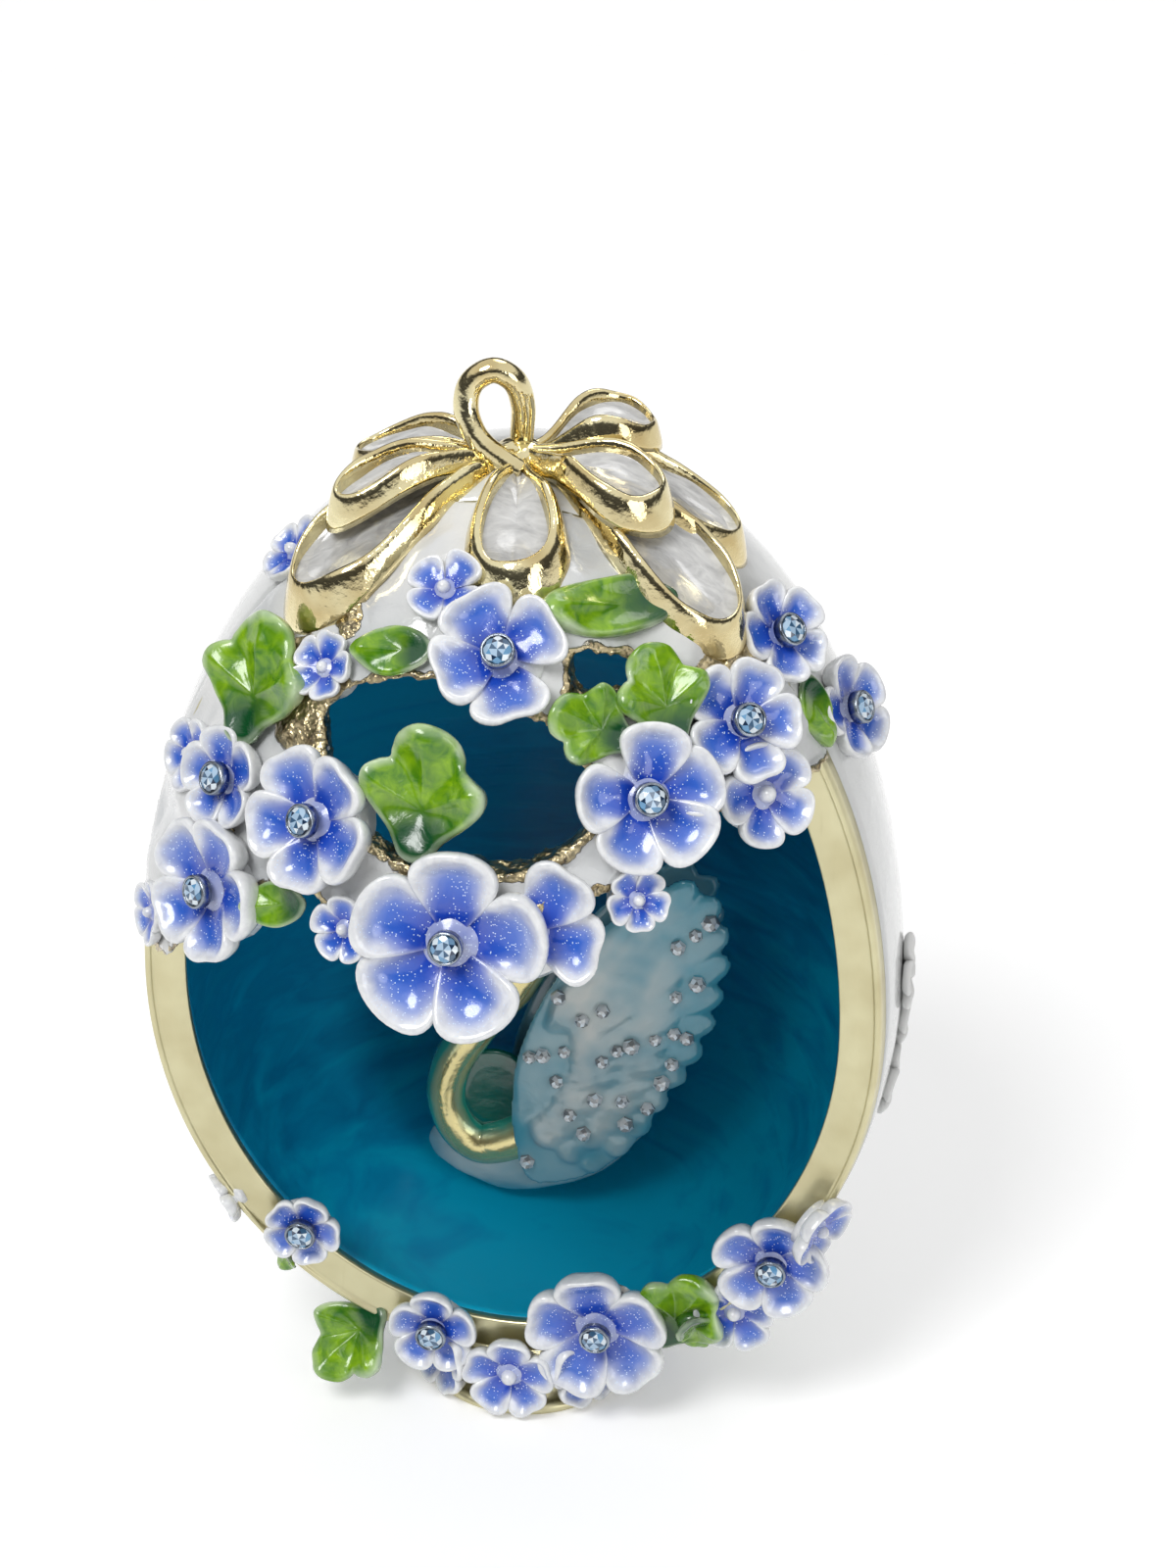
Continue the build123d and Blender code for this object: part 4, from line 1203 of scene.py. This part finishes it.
# seat, length share, kind, heading, lift, root
rimLeafPlaces = [
    (rimSeat(31, 0.6), 0.85, "ivy", 60, leafLook["lift"], 0),
    (skinSeat(-70, -0.75, 0.6, 0.5), 0.4, "oval", 240, leafLook["lift"] / 2, leafLook["root"]),
    (skinSeat(62, -0.82, 0.6, 0.5), 0.6, "oval", -60, leafLook["lift"] / 2, leafLook["root"]),
]
rimLeafMeshes = [placeLeaf(*place, seed) for seed, place in enumerate(rimLeafPlaces, 11)]
finishPiece("rimLeaves", joined("rimLeaves", rimLeafMeshes), "leaf", ["rim_leaves"])

# turn, height, length share, kind, facing, tilt, heading, slide
footLeafPlaces = [
    (-60, -0.9, 0.82, "ivy", 0.3, -0.35, -120, 3.2 * mm), (64, -0.92, 0.5, "oval", 0.5, -0.5, -10, 0),
]
footLeafPlaces += [(turn, -0.88, 0.8, "ivy", 1, 0.25, -90, 0) for turn in (105, 180, 255)]
footLeafMeshes = [
    placeLeaf(
        skinSeat(turn, height, facing, tilt), share, kind, heading, leafLook["lift"],
        leafLook["lift"] - slide / 2, seed, slide)
    for seed, (turn, height, share, kind, facing, tilt, heading, slide)
    in enumerate(footLeafPlaces, 20)
]
finishPiece("footLeaves", joined("footLeaves", footLeafMeshes), "leaf", ["foot_leaves"])
print("leaves")


# Bow: gold ribbon loops over the top, each filled with enamel
bow = {
    "reach": 22.3 * mm, "width": 10.6 * mm, "foot": 1.15 * mm, "rise": 2.2 * mm, "steps": 120,
    "knot": 2.2 * mm, "dive": 1.3 * mm,
    # section of the standing ribbon in mm: outwards, up
    "section": [
        (-0.5, -0.2), (-0.5, 0.6), (-0.46, 1.5), (-0.36, 2.15), (-0.16, 2.4), (0.12, 2.42), (0.36, 2.25),
        (0.62, 1.75), (0.86, 1.1), (1.08, 0.45), (1.15, -0.2),
    ],
    # share of the knot's radius, height in mm
    "knotRows": [
        (0, 1.4), (0.3, 1.35), (0.6, 1.15), (0.85, 0.8), (1.0, 0.3), (1.05, -0.2), (1.05, -0.6),
        (0.9, -1.2), (0, -1.3),
    ],
    "knotTall": 0.92,
}
# turn, reach share, width share, layer, flare at the far end
bowLoops = {
    1: (62, 0.67, 0.8, 1, 1), 2: (-60, 0.76, 0.58, 1, 0.8), 3: (115, 0.56, 0.78, 1.3, 0.7),
    4: (8, 0.72, 0.78, 0, 1.7), 5: (63, 1.0, 1.0, 0, 0.9), 6: (-54, 0.955, 1.0, 0, 1.2),
    7: (92, 0.865, 0.9, 0, 0.8), 8: (-90, 0.66, 0.72, 0.7, 0.7),
}


def loopPlan(turn, reach, width, inset):
    # The plan of a loop's ribbon: a drop from the knot round its far end and back
    face = math.radians(turn)
    out, side = Vector((math.sin(face), -math.cos(face))), Vector((math.cos(face), math.sin(face)))
    plan = []
    for step in range(bow["steps"] + 1):
        swing = math.tau * step / bow["steps"]
        along = (reach - inset) * (1 - math.cos(swing)) / 2
        across = (width / 2 - inset) / 0.65 * math.sin(swing) * math.sin(swing / 2) ** 2
        plan.append(out * along + side * across)
    return plan


def loopFloor(spot, reach, layerNumber):
    # The ribbons come down to the knot
    far = math.hypot(spot.x, spot.y) / reach
    climb = 0.1 + 0.9 * ease(0.1, 0.7, far)
    return layerNumber * bow["rise"] * climb - bow["dive"] * ease(0.5, 0, far)


def ribbonMesh(plan, reach, layerNumber, flare, seed):
    low = bow["rise"] / 2 - bow["dive"]
    rings = [[drape(plan[0].x, plan[0].y, low)]]
    for step, spot in enumerate(plan[1:-1], 1):
        far = math.sin(math.pi * step / bow["steps"])     # 0 at the knot, 1 at the far end
        along = (plan[step + 1] - plan[step - 1]).normalized()
        out = Vector((-along.y, along.x))
        wave = noise.noise(Vector((spot.x / (4 * mm), spot.y / (4 * mm), seed * 3.1)))
        steep = abs(out.dot(spot.normalized())) * (1 - skinNormal(drape(spot.x, spot.y, 0)).z)
        ring = []
        for across, rise in bow["section"]:
            broad = 1 - 0.3 * far**4
            if across > 0:     # the outer face, which flares
                broad = (0.75 + (flare - 0.75) * far**4) * (1 + 0.4 * wave)
            place = spot + out * across * broad * (1 - steep) * mm
            tall = rise * (0.78 + 0.12 * far + 0.25 * (flare - 1) * far**6 + 0.28 * wave) * mm
            ring.append(drape(place.x, place.y, loopFloor(place, reach, layerNumber) + tall))
        rings.append(ring)
    rings.append([drape(plan[-1].x, plan[-1].y, low)])
    return faceOut(meshFrom("bowLoop", *loft(rings)))


def cellMesh(plan, reach, layerNumber, seed):
    # The enamel inside a ribbon, which rises where it meets the ribbon
    far = plan[bow["steps"] // 2]

    def sag(point, edge):
        edge = min(edge, 1)
        wave = noise.noise(Vector((point.x / (3 * mm), point.y / (3 * mm), seed * 1.7)))
        height = point.z + loopFloor(point, reach, layerNumber)
        return drape(point.x, point.y, height + bow["rise"] * (0.08 + 0.6 * edge**3 + 0.12 * wave))

    rows = [(share, 0) for share in (0, 0.15, 0.3, 0.45, 0.6, 0.72, 0.82, 0.9, 0.96, 1.0)]
    rows += [(0.97, -0.5 * mm), (0, -0.5 * mm)]
    outline = [tuple(spot) for spot in plan[3:-3]]
    return pad("cell", outline, rows, sag, (far.x * 0.68, far.y * 0.68))


enamelMeshes = []
for number, (turn, reachShare, widthShare, layerNumber, flare) in bowLoops.items():
    reach = bow["reach"] * reachShare
    plan = loopPlan(turn, reach, bow["width"] * widthShare, bow["foot"])
    mesh = ribbonMesh(plan, reach, layerNumber, flare, number)
    finishPiece(f"bowLoop{number}", mesh, "goldPolished", [f"bow_loop_{number}"])
    enamelMeshes.append(cellMesh(plan, reach, layerNumber, number))
finishPiece("bowEnamel", joined("bowEnamel", enamelMeshes), "pearl", ["bow_enamel"])


def knotFold(turn):
    return 1 + 0.07 * math.cos(5 * turn + 0.6) + 0.04 * math.cos(9 * turn)


knotRows = [
    (bow["knot"] * share, topPole + level * mm * bow["knotTall"]) for share, level in bow["knotRows"]
]
knotMesh = faceOut(meshFrom("knot", *lathe(knotRows, 48, knotFold)))
finishPiece("bowKnot", knotMesh, "goldPolished", ["bow_knot"])

# The standing loop, a drop of thick wire whose two ends pass each other at the knot
hanger = {
    "wire": 2.05 * mm,
    "path": [
        (0.5, -2.6, -0.3), (-1.41, -2.4, 0.82), (-3.2, -1.9, 2.19), (-4.2, -1.1, 4.19),
        (-3.9, -0.4, 6.24), (-2.15, 0, 7.35), (-0.45, 0.3, 6.37), (0.18, 0.6, 4.09), (0.04, 0.8, 1.53),
        (-0.06, 0.8, -0.9),
    ],
}
hangerPath = smoothPath([Vector(spot) * mm + Vector((0, 0, topPole)) for spot in hanger["path"]], 8)
hangerSizes = [
    (hanger["wire"] * (0.92 + 0.12 * math.sin(math.pi * step / (len(hangerPath) - 1))),) * 2
    for step in range(len(hangerPath))
]
finishPiece(
    "hangingLoop", tube("hanger", hangerPath, Vector((0, 1, 0)), hangerSizes, sides=24),
    "goldPolished", ["hanging_loop"])
print("bow")


# Swan: feathers fan out from the shoulder in three tiers on each wing.
# Its points are (across, up) as shares of its height
swan = {
    "depth": 9.0 * mm, "height": 31.0 * mm, "length": 21 * mm, "deep": 9.6 * mm, "broad": 7.6 * mm,
    "tilt": 18, "spread": 4.0 * mm, "wing": 1.6 * mm, "voxel": 0.3 * mm,
    "pivot": (-0.12, 0.52),
    "outline": [
        (-0.03, 0.22), (-0.075, 0.36), (-0.08, 0.50), (-0.07, 0.62), (-0.03, 0.76), (0.03, 0.90),
        (0.12, 1.04), (0.23, 1.17), (0.34, 1.26), (0.44, 1.29), (0.51, 1.25), (0.53, 1.16), (0.528, 1.07),
        (0.515, 0.96), (0.485, 0.82), (0.44, 0.69), (0.38, 0.57), (0.31, 0.42), (0.21, 0.30),
        (0.09, 0.23),
    ],
    "tips": [
        (0.35, 1.27), (0.44, 1.29), (0.51, 1.24), (0.535, 1.15), (0.535, 1.05), (0.52, 0.95),
        (0.50, 0.85), (0.47, 0.75), (0.425, 0.655), (0.375, 0.565), (0.325, 0.465), (0.265, 0.375), (0.19, 0.30),
    ],
    "stones": [
        (0.504, 1.186), (0.463, 1.143), (0.413, 1.098), (0.47, 0.981), (0.409, 0.932), (0.351, 0.784),
        (0.405, 0.803), (0.442, 0.791), (0.282, 0.756), (0.242, 0.739), (0.199, 0.70), (0.176, 0.56),
        (0.257, 0.562), (0.4, 0.70), (0.37, 0.63), (0.33, 0.54), (0.265, 0.474), (0.142, 0.435),
        (0.101, 0.50), (0.061, 0.603), (0.084, 0.708), (0.02, 0.687), (-0.02, 0.673), (0.139, 0.836),
        (0.199, 0.873), (0.07, 0.90), (-0.03, 0.30),
    ],
    "neck": [
        (-0.01, 0.37), (-0.07, 0.335), (-0.13, 0.31), (-0.184, 0.302), (-0.232, 0.33), (-0.27, 0.39),
        (-0.285, 0.476), (-0.262, 0.58), (-0.20, 0.69), (-0.14, 0.78), (-0.07, 0.87), (-0.03, 0.97),
        (-0.07, 1.06), (-0.16, 1.09), (-0.25, 1.03),
    ],
    # in mm, from the breast up the neck, and what the head adds
    "neckWidth": (5.0, 3.8), "headWidth": 0.9, "neckAhead": 0.7 * mm,
    "beak": [(-0.22, 1.05), (-0.3, 0.99), (-0.38, 0.93)],
    "centre": (-0.01, 0.285), "bodyBack": 1.2 * mm, "breast": 1.6 * mm,
    "farShift": (-1.2 * mm, 0, -1.6 * mm),
    "stone": (0.62 * mm, 0.3 * mm, 0.4 * mm),     # radius, girdle, crown
    # a dark green patch in the bend of the neck, painted shadow for the gap there
    "shadowPatch": (-0.135, 0.485), "shadowPatchAhead": 1.6 * mm, "shadowPatchSize": (4.0 * mm, 4.8 * mm, 1.4 * mm),
}
swanFloor = egg["rise"] + egg["band"]


def swanSpot(across, up, depth):
    return Vector((swan["height"] * across, depth, swanFloor + swan["height"] * up))


def featherMesh():
    # One feather of unit length along X, with a shaft groove
    outline = []
    for step in range(24):
        angle = math.tau * step / 24
        outline.append((0.5 * math.cos(angle), 0.5 * math.sin(angle) * (1 + 0.25 * math.cos(angle))))

    def shaft(point, edge):
        if edge < 0.95:
            point.z -= 0.10 * math.exp(-(point.y / 0.07) ** 2)
        return point

    rows = [
        (0, 0.5), (0.3, 0.48), (0.55, 0.42), (0.75, 0.3), (0.9, 0.12), (1.0, -0.15), (0.9, -0.4),
        (0, -0.5),
    ]
    return pad("feather", outline, rows, shaft)


featherShape = stockShape("feather", featherMesh())
pivot = swanSpot(*swan["pivot"], 0)
# from, to, breadth in mm, thickness in mm: rows of feathers out from the pivot
featherRows = [(0.78, 1.015, 3.0, 1.2), (0.56, 0.84, 3.4, 1.5), (0.34, 0.62, 3.2, 1.5)]


def wingMesh(depth, facing):
    outline = [
        tuple(spot)[:2] for spot in smoothPath(
            [(pair[0], pair[1], 0) for pair in swan["outline"]], 4, closed=True)]
    rows = [(0, 0.75), (0.3, 0.7), (0.55, 0.62), (0.75, 0.5), (0.9, 0.3), (0.97, 0.1), (1.0, -0.1)]
    rows += [(0.97, -0.5), (0.8, -0.6), (0, -0.6)]
    plate = pad("plate", outline, rows, None, (0.2, 0.75))
    for vertex in plate.vertices:
        vertex.co = swanSpot(vertex.co.x, vertex.co.y, depth + facing * vertex.co.z * mm)
    places = []
    for row, (start, end, broad, thick) in enumerate(featherRows):
        for index, tip in enumerate(swan["tips"]):
            reach = swanSpot(*tip, 0) - pivot
            middle = pivot + reach * (start + end) / 2
            along, up = reach.normalized(), Vector((0, facing, 0))
            axes = Matrix((along, up.cross(along), up)).transposed().to_4x4()
            rise = (0.1 + 0.22 * row + 0.1 * (index % 2)) * mm
            spot = Vector((middle.x, depth + facing * rise, middle.z))
            places.append(
                Matrix.Translation(spot) @ axes
                @ sized(reach.length * (end - start) * 1.15, broad * mm, thick * mm))
    feathers = setOn(featherShape, places, (0.6 * mm, 260.0), 5)
    mesh = reskinned(addObject("wing", joined("wing", [plate, feathers])), swan["voxel"])
    # edge is high in the low parts between the feathers, where the finish paints teal shade
    paint(mesh, "edge", [
        ease(1.5 * mm, 0.2 * mm, (vertex.co.y - depth) * facing) for vertex in mesh.vertices])
    return mesh


nearDepth = swan["depth"] - swan["spread"] + swan["wing"] * 0.6
farDepth = swan["depth"] + swan["spread"] - swan["wing"] * 0.6
nearWing, farWing = wingMesh(nearDepth, -1), wingMesh(farDepth, 1)
farWing.transform(Matrix.Translation(swan["farShift"]))
stoneTree = BVHTree.FromPolygons(
    [vertex.co.copy() for vertex in nearWing.vertices],
    [tuple(face.vertices) for face in nearWing.polygons])
finishPiece("swanNearWing", nearWing, "swan", ["swan_near_wing"])
finishPiece("swanFarWing", farWing, "swan", ["swan_far_wing"])


def bodyMesh():
    centre = swanSpot(*swan["centre"], swan["depth"] + swan["bodyBack"])
    lean = Matrix.Rotation(math.radians(-swan["tilt"]), 3, "Y")
    low = egg["radius"] - egg["band"] - 0.05 * mm     # the lining, which it rests on
    half = egg["lower"] - egg["band"] - 0.05 * mm
    rings = []
    for row in range(33):
        tilt = math.pi * row / 32
        tail = ease(0.35, 1.0, -math.cos(tilt))     # the rump narrows to the tail
        ring = []
        for side in range(1 if row in (0, 32) else 48):
            turn = math.tau * side / 48
            spot = Vector((
                -swan["length"] / 2 * math.cos(tilt),
                swan["broad"] / 2 * math.sin(tilt) * math.cos(turn) * (1 - 0.25 * tail),
                swan["deep"] / 2 * math.sin(tilt) * math.sin(turn) * (1 - 0.3 * tail)))
            ruffle = Vector((spot.x / (2.6 * mm), spot.y / (1.5 * mm), spot.z / (1.5 * mm)))
            spot *= 1 + 0.025 * noise.noise(ruffle)
            spot.z += swan["breast"] * ease(0.35, 1.0, math.cos(tilt))     # the breast is carried high
            spot.rotate(lean)
            spot += centre
            size = Vector((spot.x / low, spot.y / low, (spot.z - equator) / half)).length
            if spot.z < equator and size > 1:
                spot = Vector((spot.x / size, spot.y / size, equator + (spot.z - equator) / size))
            ring.append(spot)
        rings.append(ring)
    points, faces = loft(rings)
    # edge lays a little of the painted teal shade over the whole body
    return faceOut(meshFrom("body", points, faces, edge=[0.3] * len(points)))


towards = Vector((0, -1, 0))


def neckMesh():
    path = smoothPath([swanSpot(*pair, swan["depth"] - swan["neckAhead"]) for pair in swan["neck"]], 8)
    wide, narrow = swan["neckWidth"]
    sizes = []
    for index in range(len(path)):
        along = index / (len(path) - 1)
        width = wide + (narrow - wide) * min(1, along * 2.5)
        width += swan["headWidth"] * math.exp(-((along - 0.97) / 0.07) ** 2)
        sizes.append((width * mm, width * mm * (1 - 0.1 * ease(0.85, 1, along))))
    return tube("neck", path, towards, sizes, sides=24)


def beakMesh():
    path = smoothPath([swanSpot(*pair, swan["depth"]) for pair in swan["beak"]], 6)
    shares = [index / (len(path) - 1) for index in range(len(path))]
    sizes = [((3.0 - 2.3 * share) * mm, (2.6 - 2.1 * share) * mm) for share in shares]
    return tube("beak", path, towards, sizes, sides=20)


# A dark pad in the bend of the neck that stands for the shadow there
def shadowPatchMesh():
    turns = [math.tau * step / 32 for step in range(32)]
    mesh = pad(
        "shadowPatch", [(math.cos(turn), math.sin(turn)) for turn in turns],
        [(0, -0.3), (0.6, -0.25), (0.9, -0.2), (1.0, -0.35), (0.9, -0.6), (0, -0.8)])
    mesh.transform(
        seatMatrix(swanSpot(*swan["shadowPatch"], swan["depth"] - swan["shadowPatchAhead"]), (1, 0, 0), towards)
        @ sized(*swan["shadowPatchSize"]))
    paint(mesh, "around", [1.0] * len(mesh.vertices))
    mesh.attributes["edge"].data.foreach_set("value", [1.0] * len(mesh.vertices))
    return mesh


finishPiece("swanBody", bodyMesh(), "swan", ["swan_body"])
neckMeshes = [neckMesh(), beakMesh(), shadowPatchMesh()]
finishPiece("swanNeck", joined("neckAndBeak", neckMeshes), "neck", ["swan_neck"])

pebbleShape = stockShape("pebble", brilliantMesh(*swan["stone"], 6, seed=8))
pebblePlaces = []
for number, pair in enumerate(swan["stones"]):
    spot = swanSpot(*pair, 0)
    hit = stoneTree.ray_cast(spot - Vector((0, 5 * mm, 0)), Vector((0, 1, 0)))[0]
    height = hit.y if hit else nearDepth
    size = 1.15 + 0.35 * noise.noise(spot / mm)
    seat = seatMatrix(Vector((spot.x, height + 0.12 * mm, spot.z)), (1, 0, 0), towards)
    pebblePlaces.append(seat @ spun(40 * number) @ sized(size))
finishPiece(
    "swanCrystals", setOn(pebbleShape, pebblePlaces), "clear", ["swan_crystals"],
    smooth=False)
print("swan")


# Foot: a low flared ring under the egg
footRows = [
    (0.0, 0.0), (0.90, 0.0), (0.985, 0.06), (1.0, 0.28), (0.985, 0.75), (0.93, 1.0), (0.88, 1.15),
    (0.865, 2.2), (0.88, 3.6), (0.9, 5.3), (0.86, 5.6), (0.3, 4.75), (0, 4.7),
]
footPoints, footFaces = lathe([(foot["radius"] * share, level * mm) for share, level in footRows], 96)
footMesh = faceOut(meshFrom("foot", footPoints, footFaces))
finishPiece("footRing", footMesh, "goldSatin", ["foot_ring"])
print("foot")


# Camera, light and floor
view = {"place": (55.8 * mm, -309.2 * mm, 243.3 * mm), "aim": (5.62 * mm, 0, 61.1 * mm), "lens": 97.85}
# place, size, power
lamps = {
    "keyLamp": ((-0.25, -0.5, 0.75), 0.4, 4.4),
    "fillLamp": ((0.6, -0.55, 0.3), 0.45, 1.3),
    "rimLamp": ((0.1, 0.5, 0.7), 0.4, 1.0),
}
lampAim = (0, 0, 0.05)


def pointAt(thing, place, target):
    thing.location = place
    thing.rotation_mode = "QUATERNION"
    thing.rotation_quaternion = (Vector(target) - Vector(place)).to_track_quat("-Z", "Y")


camera = addObject("camera", bpy.data.cameras.new("camera"))
pointAt(camera, view["place"], view["aim"])
camera.data.lens, camera.data.sensor_width = view["lens"], 36
camera.data.clip_start, camera.data.clip_end = 0.01, 10
bpy.context.scene.camera = camera
for name, (place, size, power) in lamps.items():
    lamp = addObject(name, bpy.data.lights.new(name, "AREA"))
    lamp.data.shape, lamp.data.size, lamp.data.energy = "DISK", size, power
    pointAt(lamp, place, lampAim)

floorMaterial, tree = startFinish(
    "paleFloor", 0.7, Base_Color=(0.93, 0.93, 0.93, 1), Specular_IOR_Level=0.1)
rays = node(tree, "ShaderNodeLightPath")
lookedAt = sums(tree, "MAXIMUM", rays.outputs["Is Camera Ray"], rays.outputs["Is Glossy Ray"])
lookedAt = sums(tree, "MAXIMUM", lookedAt, rays.outputs["Is Transmission Ray"])
glow = node(tree, "ShaderNodeEmission", None, {"Color": (1, 1, 1, 1), "Strength": 0.22})
dark = node(tree, "ShaderNodeEmission", None, {"Color": (0, 0, 0, 1), "Strength": 0.0})
pick = node(tree, "ShaderNodeMixShader", None, {0: lookedAt, 1: dark.outputs[0], 2: glow.outputs[0]})
matt = tree.nodes["Principled BSDF"].outputs[0]
lit = node(tree, "ShaderNodeAddShader", None, {0: matt, 1: pick.outputs[0]})
reach = node(tree, "ShaderNodeVectorMath", {"operation": "LENGTH"}, {0: objectPlace(tree)})
fade = stretch(tree, reach.outputs["Value"], 0.12, 0.42)     # the floor fades out into the white
clear = node(tree, "ShaderNodeBsdfTransparent")
faded = node(tree, "ShaderNodeMixShader", None, {0: fade, 1: lit.outputs[0], 2: clear.outputs[0]})
tree.links.new(faded.outputs[0], tree.nodes["Material Output"].inputs["Surface"])
corners = [(-0.6, -0.6, 0), (0.6, -0.6, 0), (0.6, 0.6, 0), (-0.6, 0.6, 0)]
floorMesh = meshFrom("floor", corners, [(0, 1, 2, 3)])
floor = addObject("floor", floorMesh)
floorMesh.materials.append(floorMaterial)

world = bpy.data.worlds.new("studio")
bpy.context.scene.world = world
world.use_nodes = True
tree = world.node_tree
sky = tree.nodes["Background"]
rays = node(tree, "ShaderNodeLightPath")
direction = node(tree, "ShaderNodeTexCoord").outputs["Generated"]
height = node(tree, "ShaderNodeSeparateXYZ", None, {0: direction}).outputs[2]
level = stretch(tree, height, -0.3, 1.0)
# what lights the egg, and what its gold and enamel mirror
softSky = ramp(
    tree, level, (0.0, grey(0.6)), (0.3, grey(0.25)), (0.62, grey(0.35)), (1.0, grey(0.75)))
mirrored = ramp(
    tree, level, (0.0, grey(1.0)), (0.24, grey(0.9)), (0.36, grey(0.05)), (0.56, grey(0.10)),
    (0.68, grey(0.95)), (1.0, grey(0.9)))
lookedAt = sums(tree, "MAXIMUM", rays.outputs["Is Camera Ray"], rays.outputs["Is Transmission Ray"])
whole = mixColour(tree, lookedAt, softSky, grey(1.0))
whole = mixColour(tree, rays.outputs["Is Glossy Ray"], whole, mirrored)
tree.links.new(whole, sky.inputs["Color"])
sky.inputs["Strength"].default_value = 1.0
bpy.context.scene.view_settings.view_transform = "Standard"
print("camera, light and floor")
